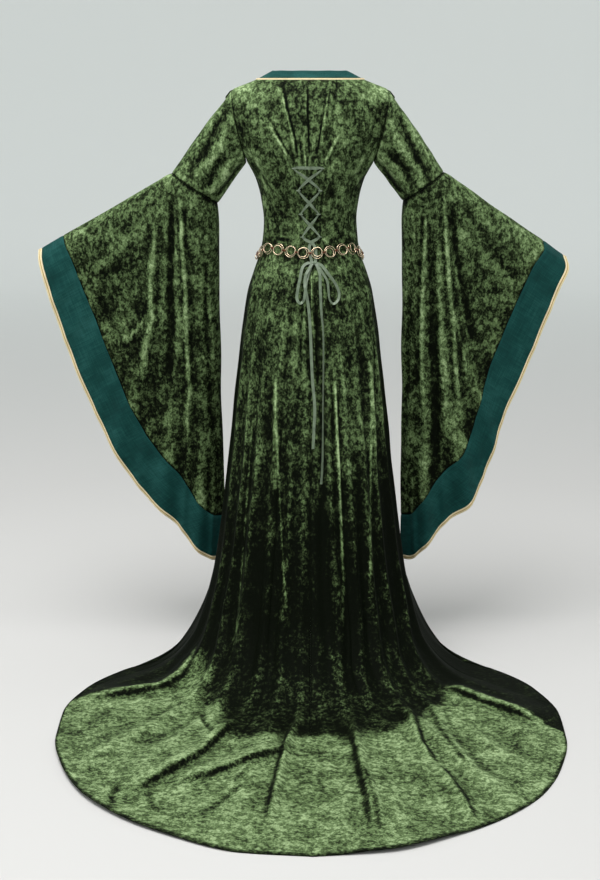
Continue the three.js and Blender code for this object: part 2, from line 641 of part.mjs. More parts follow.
function bell(name, u, v, off) {
  const round = ((u % 1) + 1) % 1;
  const shift = round > 0.5 ? 0.04 : 0;
  const grown = smoothstep(v, 0.05, 0.9);
  const height = SLEEVE_FOLDS[name].reduce((sum, fold) => {
    const away = (edgeShare(round) - fold.at - shift) / fold.width;
    return sum + fold.depth * grown * Math.exp(-4 * away * away);
  }, off);
  return bellBase(name, u, v).addScaledVector(bellNormal(name, u, v), height);
}
// Length of the cloth from the elbow seam to the edge
const bellLength = (name, u) => elbowRing(name, u).distanceTo(bellEdge(name, u));

function makeSleeve(name) {
  const us = Array.from({ length: SLEEVE_COLUMNS }, (_, i) => i / SLEEVE_COLUMNS);
  const turned = (points) => (SIDES[name] > 0 ? points : points.reverse());
  const ring = (position) => turned(us.map(position));
  const steps = 2 * ARMHOLE_STEPS;

  const seamAway = new THREE.Vector3().subVectors(bellEdge(name, 0.25), elbowRing(name, 0.25));
  const { upper, lower } = SLEEVES[name];
  const across = new THREE.Vector3(SIDES[name] * (upper[0] - lower[0]), 0, upper[1] - lower[1]);
  const plane = across.clone().cross(new THREE.Vector3(0, 1, 0)).normalize();
  if (plane.dot(seamAway) < 0) plane.negate();

  const armhole = Array.from({ length: steps }, (_, i) => armholeSeam(name, i));
  const sleeveRows = [0, 0.3, 0.65, 1];
  const tube = sleeveRows.map((v) =>
    armhole.map((seam, i) => {
      const start = seam.point.clone().add(seam.apart);
      const finish = elbowRing(name, i / steps).addScaledVector(plane, -SEAM / 2);
      return start.lerp(finish, v);
    }),
  );
  const lining = sleeveRows.map((v) =>
    armhole.map((seam, i) => {
      const start = seam.inner.clone().add(seam.apart);
      const finish = elbowRing(name, i / steps, CLOTH).addScaledVector(plane, -SEAM / 2);
      return start.lerp(finish, v);
    }),
  );
  add("upper_sleeve_" + name, wall(tube.map(turned), lining.map(turned), true), velvet);

  const borderStart = (u) => 1 - between(SLEEVE_EDGE, "share", "border", edgeShare(u)) / bellLength(name, u);
  const bindingStart = (u) => 1 - BINDING_WIDTH / bellLength(name, u);
  const halfGap = (u) => SEAM / 2 / bellLength(name, u);
  const velvetAt = (t, off) => (u) => {
    if (t > 0) return bell(name, u, t * (borderStart(u) - halfGap(u)), off);
    return elbowRing(name, u, -off).addScaledVector(plane, SEAM / 2);
  };
  const outer = BELL_ROWS.map((t) => ring(velvetAt(t, 0)));
  const inner = BELL_ROWS.map((t) => ring(velvetAt(t, -CLOTH)));
  add("bell_sleeve_" + name, wall(outer, inner, true), velvet);

  const strip = (from, to, rows, offOut, offIn) => {
    const shares = Array.from({ length: rows }, (_, i) => i / (rows - 1));
    const at = (t, off) => (u) => bell(name, u, lerp(from(u), to(u), t), off);
    return wall(shares.map((t) => ring(at(t, offOut))), shares.map((t) => ring(at(t, offIn))), true);
  };
  const borderFrom = (u) => borderStart(u) + halfGap(u);
  const borderTo = (u) => bindingStart(u) - halfGap(u);
  add("sleeve_border_" + name, strip(borderFrom, borderTo, 3, 0, -CLOTH), teal);
  const bindingFrom = (u) => bindingStart(u) + halfGap(u);
  add("sleeve_binding_" + name, strip(bindingFrom, () => 1, 2, BINDING_EXTRA, -CLOTH - BINDING_EXTRA), cream);
}

// The neckline's band: degrees round from the middle of the back, and t from its seam (0) to its free edge (1)
function neckPoint(around, t) {
  const round = Math.abs(wrapped(around));
  const side = wrapped(around) < 0 ? -1 : 1;
  const level = lerp(NECK_HEIGHT, BAND_TOP, t);
  if (round <= 90) return onSection(side * round, level);
  const angle = degToRad(180 - round);
  const z = level - lerp(NECK_DROP, BAND_DROP, t) * Math.cos(angle);
  const x = lerp(NECK_HALF_WIDTH, BAND_HALF_WIDTH, t) * Math.sin(angle);
  return onSection(180 - side * turnAt(x, z), z);
}
function neckOff(around, t, off) {
  const normal = facing(neckPoint, around, t, 0.4, 0.01);
  return neckPoint(around, t).addScaledVector(normal, normal.z < 0 ? -off : off);
}

function makeNeck() {
  const backPlaces = ["back_side_right", "back_centre_right", "back_centre_left", "back_side_left"];
  const back = backPlaces.flatMap((name) => COLUMNS[name].slice(0, -1)).map((place) => backTurn(place, NECK_HEIGHT));
  const front = COLUMNS.front.slice(0, -1).map((place) => {
    const share = (180 - Math.abs(wrapped(place))) / (180 - SIDE_PLACE);
    return wrapped(place) > 0 ? 180 - 90 * share : 180 + 90 * share;
  });
  const turns = [...back, ...front];
  const width = (around) => neckPoint(around, 0).distanceTo(neckPoint(around, 1));
  const row = (distance, off) => turns.map((around) => neckOff(around, distance(around) / width(around), off));
  const rowsOf = (distances, off) => distances.map((distance) => row(distance, off));
  const bandRows = [() => SEAM, (around) => width(around) / 2, width];
  add("neck_band", wall(rowsOf(bandRows, 0), rowsOf(bandRows, -CLOTH), true), teal);
  const pipingRows = [() => -PIPING_WIDTH / 2, () => PIPING_WIDTH / 2];
  const raised = SEAM + 0.25;
  const piping = wall(rowsOf(pipingRows, raised + PIPING_THICKNESS), rowsOf(pipingRows, raised), true);
  add("neck_piping", piping, cream);
}

// A ribbon along a route off the back, facing away from the cloth
function ribbon(route, stepsPerPoint) {
  const path = new THREE.CatmullRomCurve3(route.map(({ x, z, off }) => new THREE.Vector3(x, off, z)));
  const widths = new THREE.CatmullRomCurve3(route.map(({ width = 1 }) => new THREE.Vector3(width, 0, 0)));
  const steps = Math.round((route.length - 1) * stepsPerPoint);
  const place = (t, extra = 0) => {
    const { x, y, z } = path.getPoint(clamp(t, 0, 1));
    return offBack({ x, z, off: y + extra });
  };
  const outer = [];
  const inner = [];
  for (let i = 0; i <= steps; i++) {
    const t = i / steps;
    const share = widths.getPoint(t).x;
    const along = place(t + 0.002).sub(place(t - 0.002)).normalize();
    const out = place(t, 1).sub(place(t)).normalize();
    const across = along.clone().cross(out).normalize().multiplyScalar((LACE_WIDTH / 2) * share);
    const half = LACE_THICKNESS / 2 / Math.sqrt(share);
    outer.push([place(t, half).add(across), place(t, half).sub(across)]);
    inner.push([place(t, -half).add(across), place(t, -half).sub(across)]);
  }
  return wall(outer, inner);
}

function makeLace() {
  const frame = knotFrame();
  const knot = (grow) => {
    const geometry = new THREE.SphereGeometry(1, 10, 7);
    geometry.scale(KNOT.halfWidth + grow, KNOT.halfHeight + grow, KNOT.halfDepth + grow);
    return geometry.applyMatrix4(frame);
  };
  const clear = solidOf(knot(SEAM + 0.1));
  const cut = (geometry) => geometryOf(solidOf(geometry).subtract(clear));
  add("lacing", cut(ribbon(LACING, 1.5)), laceCloth);
  add("bow_knot", knot(0), laceCloth);
  add("bow_loop_left", cut(ribbon(BOW_LOOP_LEFT, 1.5)), laceCloth);
  add("bow_loop_right", cut(ribbon(BOW_LOOP_RIGHT, 1.5)), laceCloth);
  add("lace_end_left", cut(ribbon(LACE_END_LEFT, 1.6)), laceCloth);
  add("lace_end_right", cut(ribbon(LACE_END_RIGHT, 1.6)), laceCloth);
}
// Axes of the knot: across, up along the cloth, and away from it
function knotFrame() {
  const centre = offBack(KNOT);
  const out = offBack({ ...KNOT, off: KNOT.off + 1 }).sub(centre).normalize();
  const across = new THREE.Vector3(1, 0, 0).addScaledVector(out, -out.x).normalize();
  const matrix = new THREE.Matrix4().makeBasis(across, out.clone().cross(across), out);
  return matrix.setPosition(centre);
}

// A closed wire: place gives a point and the two directions of its section at each share of the way round
function closedWire(place, wire, segments, sides) {
  const rows = Array.from({ length: sides }, (_, s) => {
    const around = (2 * Math.PI * (s + 0.5)) / sides;
    return Array.from({ length: segments }, (_, i) => {
      const { point, outward, out } = place(i / segments);
      return point.addScaledVector(outward, wire * Math.cos(around)).addScaledVector(out, wire * Math.sin(around));
    });
  });
  const index = [];
  const at = (s, i) => (s % sides) * segments + (i % segments);
  for (let s = 0; s < sides; s++) {
    for (let i = 0; i < segments; i++) {
      index.push(at(s, i), at(s, i + 1), at(s + 1, i + 1), at(s, i), at(s + 1, i + 1), at(s + 1, i));
    }
  }
  const geometry = new THREE.BufferGeometry();
  const positions = rows.flat().flatMap((p) => [p.x, p.y, p.z]);
  geometry.setAttribute("position", new THREE.Float32BufferAttribute(positions, 3));
  geometry.setIndex(index);
  geometry.computeVertexNormals();
  return geometry;
}

// An oval ring of wire in the plane of two axes
function ovalRing(centre, axisA, axisB, radiusA, radiusB, wire, segments, sides) {
  const out = axisA.clone().cross(axisB).normalize();
  const place = (share) => {
    const [cos, sin] = [Math.cos(2 * Math.PI * share), Math.sin(2 * Math.PI * share)];
    const point = centre.clone().addScaledVector(axisA, cos * radiusA).addScaledVector(axisB, sin * radiusB);
    const outward = axisA.clone().multiplyScalar(cos * radiusB).addScaledVector(axisB, sin * radiusA).normalize();
    return { point, outward, out };
  };
  return closedWire(place, wire, segments, sides);
}

// Two turns of wire, a wide one and a narrow one that meet at the top
function doubleRing(centre, along, up) {
  const out = along.clone().cross(up).normalize();
  const middle = (RING_RADIUS + INNER_RING_RADIUS) / 2;
  const change = (RING_RADIUS - INNER_RING_RADIUS) / 2;
  const place = (share) => {
    const angle = 4 * Math.PI * share + Math.PI / 2;
    const radius = middle + change * clamp(1.6 * Math.sin(2 * Math.PI * share), -1, 1);
    const outward = along.clone().multiplyScalar(Math.cos(angle)).addScaledVector(up, Math.sin(angle));
    const point = centre.clone().addScaledVector(up, RING_RADIUS - radius).addScaledVector(outward, radius);
    return { point: point.addScaledVector(out, RING_LIFT * Math.cos(2 * Math.PI * share) ** 3), outward, out };
  };
  return closedWire(place, RING_WIRE, 20, 3);
}

function makeLoops() {
  const wire = 1;
  const [halfWidth, halfDepth] = [4.2, 2.7];
  LOOPS.forEach(({ z, left, right }, i) => {
    for (const [name, x] of Object.entries({ left, right })) {
      const centre = offBack({ x, z, off: LOOP_OFF });
      const out = offBack({ x, z, off: LOOP_OFF + 1 }).sub(centre).normalize();
      const across = new THREE.Vector3(1, 0, 0).addScaledVector(out, -out.x).normalize();
      add(`lace_loop_${i + 1}_${name}`, ovalRing(centre, across, out, halfWidth, halfDepth, wire, 8, 4), laceCloth);
    }
  });
}

function makeBelt() {
  // The belt's middle line, and the places of the rings at even steps along it
  const line = (turn) => {
    const round = Math.abs(wrapped(turn));
    const z = between(BELT, "turn", "z", round);
    const normal = facing(onSection, turn, z, 0.5, 1);
    const base = onSection(turn, z);
    if (normal.dot(new THREE.Vector3(base.x, base.y, 0)) < 0) normal.negate();
    return { point: base.addScaledVector(normal, between(BELT, "turn", "off", round)), normal };
  };
  const samples = 720;
  const lengths = [0];
  for (let i = 1; i <= samples; i++) {
    const [a, b] = [line(180 + ((i - 1) * 360) / samples).point, line(180 + (i * 360) / samples).point];
    lengths.push(lengths[i - 1] + a.distanceTo(b));
  }
  const pitch = lengths[samples] / BELT_UNITS;
  const units = Array.from({ length: BELT_UNITS }, (_, n) => {
    const target = (n + 0.5) * pitch;
    const i = lengths.findIndex((length) => length >= target);
    const turn = 180 + ((i - 1 + (target - lengths[i - 1]) / (lengths[i] - lengths[i - 1])) * 360) / samples;
    const { point, normal } = line(turn);
    const along = line(turn + 1).point.sub(line(turn - 1).point);
    along.addScaledVector(normal, -along.dot(normal)).normalize();
    const up = normal.clone().cross(along).normalize();
    return { point, normal, along, up: up.z < 0 ? up.negate() : up };
  });
  const linkBetween = (unit, next, shift) => {
    const from = unit.point.clone().addScaledVector(unit.along, RING_RADIUS);
    const to = next.point.clone().addScaledVector(next.along, -RING_RADIUS);
    const along = to.clone().sub(from);
    const reach = along.length() / 2 + LINK_REACH + LINK_SHIFT - shift;
    along.normalize();
    const out = unit.normal.clone().add(next.normal);
    out.addScaledVector(along, -out.dot(along)).normalize();
    const middle = from.lerp(to, 0.5).addScaledVector(along, shift);
    return ovalRing(middle, along, out, reach, LINK_HALF_DEPTH, LINK_WIRE, 6, 3);
  };
  units.forEach((unit, n) => {
    let solid = solidOf(doubleRing(unit.point, unit.along, unit.up));
    if (n < BELT_UNITS - 1) solid = solid.add(solidOf(linkBetween(unit, units[n + 1], LINK_SHIFT)));
    add("belt_ring_" + String(n + 1).padStart(2, "0"), geometryOf(solid), brass);
  });
  add("belt_clasp", linkBetween(units[BELT_UNITS - 1], units[0], 0), brass);
}

Object.keys(COLUMNS).forEach(makePanel);
Object.keys(SIDES).forEach(makeSleeve);
makeNeck();
makeLoops();
makeLace();
makeBelt();
dress.position.z = -HELD_HEIGHT;
export default dress;
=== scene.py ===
"""A medieval costume dress in crushed velvet, worn and hollow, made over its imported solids.

The lengths in the tables are millimetres above the floor. +Z is up, the front faces -Y and +X is the wearer's left.
"""

import math

import bpy
import numpy as np
from bpy.props import FloatProperty, FloatVectorProperty, PointerProperty
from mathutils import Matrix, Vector


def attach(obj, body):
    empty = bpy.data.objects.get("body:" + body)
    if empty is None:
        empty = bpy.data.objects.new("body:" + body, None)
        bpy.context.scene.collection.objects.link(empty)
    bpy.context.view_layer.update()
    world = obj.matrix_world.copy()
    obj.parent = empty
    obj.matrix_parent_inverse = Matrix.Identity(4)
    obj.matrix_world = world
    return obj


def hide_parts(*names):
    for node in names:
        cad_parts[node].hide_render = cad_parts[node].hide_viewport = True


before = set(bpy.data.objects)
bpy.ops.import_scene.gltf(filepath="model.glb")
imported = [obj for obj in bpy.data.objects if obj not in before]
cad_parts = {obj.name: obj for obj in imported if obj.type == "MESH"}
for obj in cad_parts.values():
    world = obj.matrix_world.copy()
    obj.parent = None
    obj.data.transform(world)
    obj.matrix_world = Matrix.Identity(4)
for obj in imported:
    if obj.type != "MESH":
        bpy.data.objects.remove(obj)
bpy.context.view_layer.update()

bl_info = {
    "name": "Medieval Costume Dress",
    "version": (1, 0, 0),
    "blender": (4, 5, 0),
    "location": "View3D > Sidebar > Dress",
    "description": "Builds the cloth, lace, belt and stage of a medieval costume dress",
    "category": "Object",
}

HELD_HEIGHT = 1472.0
ARMPIT_HEIGHT = 1290.0
NECK_HEIGHT = 1495.0
NECK_DROP = 113.0
NECK_HALF_WIDTH = 133.0
BAND_TOP = 1516.0
BAND_DROP = 92.0
BAND_HALF_WIDTH = 93.0
BUST_HEIGHT = 1245.0
BEND_HEIGHT = 160.0
BEND_REACH = 150.0
BEND_SHARE = 0.48
PRINCESS_PLACE = 20.0
SIDE_PLACE = 86.0
TROUGH_INSET = 8.0
UPPER_ARM_DEPTH = 55.0
BINDING_WIDTH = 11.0
SEAM_GAP = 0.06
SHARP_ANGLE = math.radians(62)
HEM_STITCHES = 0.984  # share of the way out to the hem at which it is sewn
INNER_RING = 11.4
SIDES = {"left": 1.0, "right": -1.0}

# How fine the surfaces are
GOWN_HEIGHTS = 184
GOWN_SHARES = 150
SIDE_COLUMNS = 118
CENTRE_COLUMNS = 42
FRONT_COLUMNS = 150
HEM_SHARES = 9
ARM_COLUMNS = 96
ARM_ROWS = 60
BELL_COLUMNS = 240
NECK_COLUMNS = 240
FLOOR_SIDES = 72
# Section of the lace: across, from -1 to 1, and out, from -1 to 1
RIBBON_PROFILE = [
    (-1, 0), (-0.93, 0.8), (-0.5, 0.7), (0, 0.5), (0.5, 0.7), (0.93, 0.8), (1, 0), (0.93, -0.6), (0.5, -0.9),
    (0, -1), (-0.5, -0.9), (-0.93, -0.6),
]


def table(heads, rows):
    """Columns of numbers by name, from rows parted by semicolons."""
    values = np.array([row.split() for row in rows.split(";")], float)
    return dict(zip(heads.split(), values.T))


def drawn(rows):
    """Creases from rows such as "x y, x y, x y: left right depth": the points of a line, its width on its left and on
    its right, or one width for both, and its height."""
    creases = []
    for row in rows.strip().splitlines():
        line, sizes = row.split(":")
        sizes = [float(size) for size in sizes.split()]
        creases.append(([point.split() for point in line.split(",")], sizes[0], sizes[-2], sizes[-1]))
    return creases


def route(rows):
    """A ribbon's way from rows such as "x z off; x z off": distance from the middle, height, distance off the cloth
    and share of the full width. In a row without a distance it is drawn narrow through a loop."""
    values = [tuple(float(number) for number in row.split()) for row in rows.split(";")]
    return [(*row, 1.0) if len(row) == 3 else (*row, LOOP_OFF, LOOP_SHARE) for row in values]


# Sections of the body and skirt: half width, and how far the back and the front lie from the side seams' plane.
# The tables after them place the seams, and the hem by degrees round from the middle of the back
SECTIONS = table(
    "z half back front",
    """0 325 425 250; 80 296 372 222; 160 273 325 204; 250 249 286 187; 400 226 236 166; 575 206 195 149;
    735 190 166 136; 890 171 146 122; 965 160 134 113; 1020 143 117 104; 1060 129 98 97; 1100 121 87 92;
    1145 118 84 91; 1195 124 91 99; 1245 136 99 115; 1290 160 104 124; 1325 184 104 122; 1360 208 102 113;
    1410 221 95 97; 1450 219 82 80; 1466 203 74 71; 1472 191 71 67; 1478 176 67 63; 1486 155 62 58;
    1495 133 55.5 51; 1505 114 43 42; 1516 93 27 30""",
)
ARMHOLE = table("z x", "1290 160; 1325 169; 1360 179; 1410 189; 1450 195; 1466 196.5; 1472 191")
PRINCESS = table(
    "z x",
    """0 110; 400 84; 735 66; 890 54; 1000 38; 1060 28; 1110 24; 1167 26; 1226 32; 1281 41; 1410 58; 1495 66""",
)
MIDDLE = table("z x", "1080 0; 1200 3; 1290 8; 1400 8; 1495 6")
SIDE_SEAM = table("z left right", "0 80 73; 400 87 85; 900 90 90")
HEM = table(
    "turn x y",
    """0 0 1224; 10 150 1206; 20 292 1134; 30 405 1048; 40 497 935; 50 557 795; 60 592 640; 70 598 480; 80 562 315;
    88 490 195; 95 405 122; 103 338 40; 115 297 -62; 132 242 -154; 155 137 -230; 180 0 -254""",
)
# Hanging folds by degrees round the foot of the skirt. Crisp is how sharp the ridge is, from 0 to 1
FOLDS = table(
    "at width skirt train crisp",
    """4 9 16 3 0.1; 13 8 22 9.6 0.2; 24 9 20 4.2 0.5; 37 10 26 8.4 0.2; 50 10 26 9 0.5; 64 11 24 6 0.2;
    79 12 16 8.4 0.2; 103 17 9 2.4 0; 128 16 16 2.4 0.2; 152 15 18 2.4 0.2; 176 16 15 2.4 0.1;
    200 15 18 2.4 0.3; 225 16 17 2.4 0.2; 252 17 10 2.4 0; 281 12 18 9.6 0.2; 296 11 26 6.6 0.3;
    310 10 24 4.8 0.7; 323 9 26 9.6 0.2; 335 9 22 4.8 0.3; 347 8 24 9 0.2; 356 7 12 3.6 0.1""",
)
# How far the train's edge stands off the floor, by degrees round from the middle of the back
HEM_LIFT = table("turn lift", "-90 2; -40 1; -24 3; -17 9; -8 8; -3 2; 10 1; 20 6; 38 9; 54 9; 66 2; 90 2")
OUTER_LIE = 1.8  # height of the cloth's outer face where it lies on the floor
# Narrow folds that lie on the wide ones
RIPPLES = table(
    "at width skirt train",
    """-18 2.6 4.4 0.8; 9 2.6 2 1.2; -4.5 2.4 -1.6 0.8; 18.5 2.6 2 0.8; 30.5 3.4 3.2 1.6; 43.5 4 3.2 1.6;
    57 4 3.2 2; 71 4.5 2.8 2; -30 3.2 2.8 1.2; -43.5 3.6 3.2 1.6; -57 4 3.2 2; -71.5 4.5 2.8 2; 96 6 2 0;
    116 7 2.4 0; 140 6 2.8 0; 164 6 2.4 0; 188 6 2.4 0; 213 7 2.4 0; 239 7 2.4 0; 265 6 2 0""",
)
FOLD_GROWTH = table("z share", "0 1; 160 0.92; 400 0.68; 650 0.44; 860 0.21; 1010 0.03; 1040 0")

# Creases of the back, on x and height: a line, how wide its slopes are to its left and right, and how high it stands
BACK_CREASES = drawn("""
8 1492, 8 1400, 8 1300: 9 4 1.6
87 1490, 67 1445, 53 1385, 35 1296: 11 4 3.4
-50 1490, -44 1430, -33 1373, -21 1300: 4 11 3.2
106 1395, 75 1337, 52 1292: 9 4 2.6
88 1350, 66 1318, 46 1288: 6 4 -1.8
-76 1372, -55 1329, -36 1290: 4 8 2.4
-88 1330, -60 1306, -38 1284: 6 5 -1.8
22 1352, 20 1300, 18 1262: 4 -1.6
-6 1340, -5 1300, -4 1262: 3 4 -1.6
2 1322, 2 1290, 3 1256: 3 1.4
12 1318, 12 1285, 12 1250: 3 1.2
-14 1318, -14 1288, -14 1255: 3 1.2
30 1262, 24 1210, 20 1150, 19 1105: 4 -1.6
-24 1262, -20 1210, -17 1150, -19 1105: 4 -1.6
10 1240, 9 1190, 8 1120: 4 1.2
-7 1235, -7 1180, -7 1125: 4 1.2
92 1108, 58 1107, 22 1114: 5 8 -2.4
86 1098, 54 1099, 26 1105: 5 1.6
-34 1106, -64 1110, -96 1104: 6 -1.6
152 1300, 112 1240, 84 1188: 10 8 -3.4
146 1262, 112 1205, 92 1150: 8 -2.6
-150 1304, -112 1246, -88 1190: 8 10 -3.2
-140 1262, -112 1210, -96 1160: 8 -2.6
176 1400, 150 1350, 128 1318: 12 10 -3
-172 1408, -150 1356, -130 1322: 10 12 -3
168 1450, 128 1442, 96 1452: 12 -1.6
-160 1456, -124 1444, -92 1452: 12 -1.6
12 1046, 19 985, 24 880, 26 760: 4 -3.2
3 1042, 5 980, 6 860, 6 740: 4 -3.2
-9 1040, -12 975, -16 870, -18 700: 4 -3.4
-18 1042, -27 980, -38 890, -44 760: 5 4 -3
24 1046, 36 985, 46 900, 52 800: 5 -2.6
-28 1040, -50 985, -66 910: 6 5 -2.2
-2 1036, -3 960, -5 850: 3 2.2
8 1040, 13 970, 16 860: 3 2
-62 800, -66 655, -72 520, -76 390: 8 5 5
-150 905, -152 800, -154 640, -158 430: 14 6 6
88 790, 86 600, 84 420: 6 9 4.5
""")
# How the pile shines along some lines of the back, as painted sheen where the last number is above 0 and painted shade
# where it is below 0, on x and height: a line, its half width, and how much
PAINTED_SHEEN_AND_SHADE_LINES = drawn("""
72 1476, 60 1416, 52 1388, 43 1355, 35 1294: 2.2 0.7
66 1476, 54 1416, 46 1388, 38 1355, 29 1294: 2.2 -1.2
12 1476, 11 1396: 2 0.4
7 1485, 6 1410, 4 1355, 2 1294: 2.2 -1.2
-44 1468, -38 1424, -32 1391, -25 1355: 2.2 0.9
-49 1476, -44 1424, -37 1391: 2.2 -0.9
-28 1391, -20 1338, -13 1297: 2.2 -1
99 1382, 72 1335, 51 1299: 2.4 0.8
86 1371, 66 1338, 47 1305: 2.2 -0.8
-63 1352, -50 1327, -35 1291: 2.4 0.7
-70 1349, -57 1321, -42 1291: 2.2 -0.6
26 1361, 24 1327, 20 1292: 1.8 -0.7
16 1338, 12 1292: 1.8 0.5
-6 1344, -4 1292: 1.8 0.5
-14 1338, -10 1292: 1.8 -0.6
89 1276, 69 1213, 76 1133: 22 -0.35
166 1437, 126 1432, 86 1429: 17 0.35
-107 1457, -167 1459: 14 0.35
183 1426, 172 1353, 161 1313: 12 -0.45
-181 1451, -174 1381, -166 1319: 10 -0.45
-127 1315, -114 1269, -121 1225: 9 0.4
-101 1125, -113 1095: 9 0.4
144 1323, 121 1251, 98 1209: 5 0.45
87 1107, 52 1111, 20 1113: 2.4 0.8
90 1100, 52 1103, 29 1107: 3 -0.9
-30 1108, -47 1088: 5 0.7
29 1103, 44 1088: 5 0.6
-91 1256, -63 1159: 24 0.16
-45 1220, -62 1217: 4 -0.9
145 701, 151 584, 162 436, 172 295, 182 171, 203 86: 3 0.52
83 881, 86 792, 87 672, 83 589, 75 440, 67 290, 57 193, 47 104: 3 0.6
-59 845, -62 783, -65 684, -73 549, -78 414, -83 263, -81 112: 4 0.83
-154 872, -156 662, -153 480, -153 351, -150 227, -138 125: 3.5 0.6
-178 843, -196 728, -217 556, -229 449, -244 336, -265 194, -284 82: 3 0.6
-41 368, -39 285, -38 204: 3 0.45
26 538, 18 429, 13 321: 16 0.26
-105 755, -111 606, -106 459: 14 0.22
-25 465, -29 333, -34 137: 17 -0.5
122 359, 121 217, 120 85: 22 -0.35
-118 312, -115 196, -103 87: 14 -0.4
-194 609, -207 381, -221 166: 14 -0.35
121 878, 122 753, 111 605: 16 -0.3
-19 1030, -19 884, -24 710: 7 -0.4
-49 136, -58 71, -53 9: 5 0.45
45 136, 35 68, 26 0: 4 0.38
-190 133, -201 45, -221 -44: 5 0.45
178 181, 197 88, 222 17: 4 0.45
""")
# Creases of the train, on x and y along the floor
TRAIN_CREASES = drawn("""
172 495, 201 587, 246 715, 326 843, 399 932: 7 46 13
52 657, 67 707, 138 760, 223 831, 307 887: 7 44 9
30 455, 30 544, 51 641, 70 822, 94 1101: 12 9 13
-96 519, -104 659, -112 819, -124 969, -126 1129: 11 10
-118 810, -131 910, -140 1010, -142 1120: 7 5
-236 453, -244 583, -252 680, -276 785: 9 14 12
-276 779, -300 867, -318 947, -334 1067: 8 12 9
-322 449, -342 604, -374 770, -419 892: 24 28 -6
-300 431, -312 571, -338 711, -366 831: 14 6
-330 308, -364 336, -424 408, -507 490, -545 538: 30 16 15
262 90, 290 180, 330 270, 380 326, 470 360, 560 390: 16 34 16
248 390, 288 531, 341 610, 420 690: 22 -7
300 400, 380 500, 480 590: 26 20 -6
228 620, 255 540, 262 470: 6 10 -5
416 900, 428 950, 420 1000: 7 -4
352 905, 343 970, 322 1030: 7 -5
150 900, 190 980, 240 1040: 9 -4
118 770, 152 830, 170 890: 5 8 3.5
-170 640, -190 780, -205 920: 30 -5
-20 700, -22 850, -20 1000: 34 -5
-420 560, -470 680, -500 760: 24 -4
460 430, 520 520, 548 620: 20 -4
""")
# Where the painted shade on the foot of the skirt meets the painted light on the train, along the floor
FOOT_EDGE = [
    (300, 60), (268, 250), (243, 400), (205, 565), (150, 622), (96, 620), (26, 622), (-45, 604), (-104, 628),
    (-188, 556), (-247, 524), (-312, 442), (-366, 310), (-384, 190),
]
# Creases of the unseen front, on x and height
FRONT_CREASES = drawn("""
150 1300, 112 1240, 92 1180: 9 -3
-150 1300, -112 1244, -92 1184: 9 -3
172 1402, 140 1360, 112 1336: 12 -3
-172 1400, -140 1356, -112 1332: 12 -3
84 1104, 48 1110, 14 1104: 7 -2
-88 1106, -54 1100, -20 1106: 7 -2
60 1000, 70 850, 82 640: 14 12 -5
-58 1000, -66 850, -80 660: 12 14 -5
4 980, 6 820, 10 640: 12 -4
""")

# Sleeves: the elbow seam's ends, how far forward the elbow, wrist and tip are, and the outer edge
SLEEVES = {
    "left": {"upper": (352, 1262), "lower": (235, 1186), "elbow": -20, "wrist": -70, "tip": -118},
    "right": {"upper": (340, 1265), "lower": (236, 1192), "elbow": -20, "wrist": -70, "tip": -118},
}
SLEEVE_EDGE = table(
    "share leftX leftZ rightX rightZ depth border",
    """0 706 1061 668 1043 0 78; 0.04 703 1035 672 1018 27 84; 0.1 689 981 650 966 40 95;
    0.2 661 885 616 875 38 109; 0.32 623 770 572 757 34 126; 0.45 567 627 516 620 34 138;
    0.58 505 498 481 500 36 142; 0.7 427 387 436 386 36 142; 0.8 360 322 368 325 33 138;
    0.9 300 240 312 252 27 134; 0.97 256 213 272 214 15 130; 1 234 211 250 213 0 128""",
)
# Folds of the bells: share along the edge, width, depth, and where down the bell they start
BELL_FOLDS = {
    "left": table(
        "at width depth start",
        """0.36 0.1 7 0; 0.56 0.1 12 0; 0.74 0.08 12 0; 0.89 0.07 14 0; 0.15 0.04 4 0.2; 0.26 0.045 5 0.1;
        0.46 0.04 5 0.15; 0.65 0.035 6 0.1; 0.82 0.03 6 0.1; 0.95 0.025 5 0.2""",
    ),
    "right": table(
        "at width depth start",
        """0.38 0.09 6 0; 0.55 0.08 12 0; 0.71 0.08 22 0; 0.88 0.07 19 0; 0.16 0.04 4 0.2; 0.27 0.045 5 0.1;
        0.47 0.04 5 0.1; 0.63 0.03 6 0.1; 0.795 0.03 7 0; 0.94 0.025 5 0.2""",
    ),
}
# Creases of the bells' seen side, on x and height
BELL_CREASES = {
    "left": drawn("""
330 1232, 326 1103, 320 967, 320 829, 316 690, 323 620, 321 477: 6 7
350 1242, 353 1103, 358 981, 356 899, 370 700: 13 9 -9
380 1191, 404 1048, 410 940, 407 892, 430 802, 439 708: 12 9 6
406 917, 449 857, 502 820: 7 5 4.5
270 1156, 268 933, 261 668, 249 477: 9 -4
262 972, 256 841, 252 748: 4 2.5
551 959, 507 867, 477 796: 12 -3
439 1102, 492 1032, 556 980: 14 -3
"""),
    "right": drawn("""
-293 1202, -293 1103, -290 940, -290 829, -296 690, -309 559: 5 6 7
-311 1153, -318 967, -324 829, -334 690, -336 549, -349 439: 14 11 -12
-337 1242, -343 1136, -351 1048, -363 940, -375 843, -385 725, -406 587: 7 6 7
-368 933, -404 774, -423 678: 5 4
-356 1202, -371 1069, -393 967, -420 843, -468 796: 6 14 -6
-254 1089, -259 880, -254 668, -247 450: 8 -4
-434 1114, -493 1032, -551 985: 12 -2.5
"""),
}
# Wrinkles of the upper sleeves: place round the arm at the armhole and at the elbow, width and depth
ARM_CREASES = table(
    "start finish width depth",
    """0.12 0.2 0.035 -4; 0.22 0.24 0.03 3.5; 0.3 0.3 0.03 -4; 0.38 0.33 0.035 4; 0.45 0.4 0.03 -4.5;
    0.56 0.58 0.035 -4; 0.7 0.66 0.04 4; 0.84 0.8 0.04 -3.5""",
)

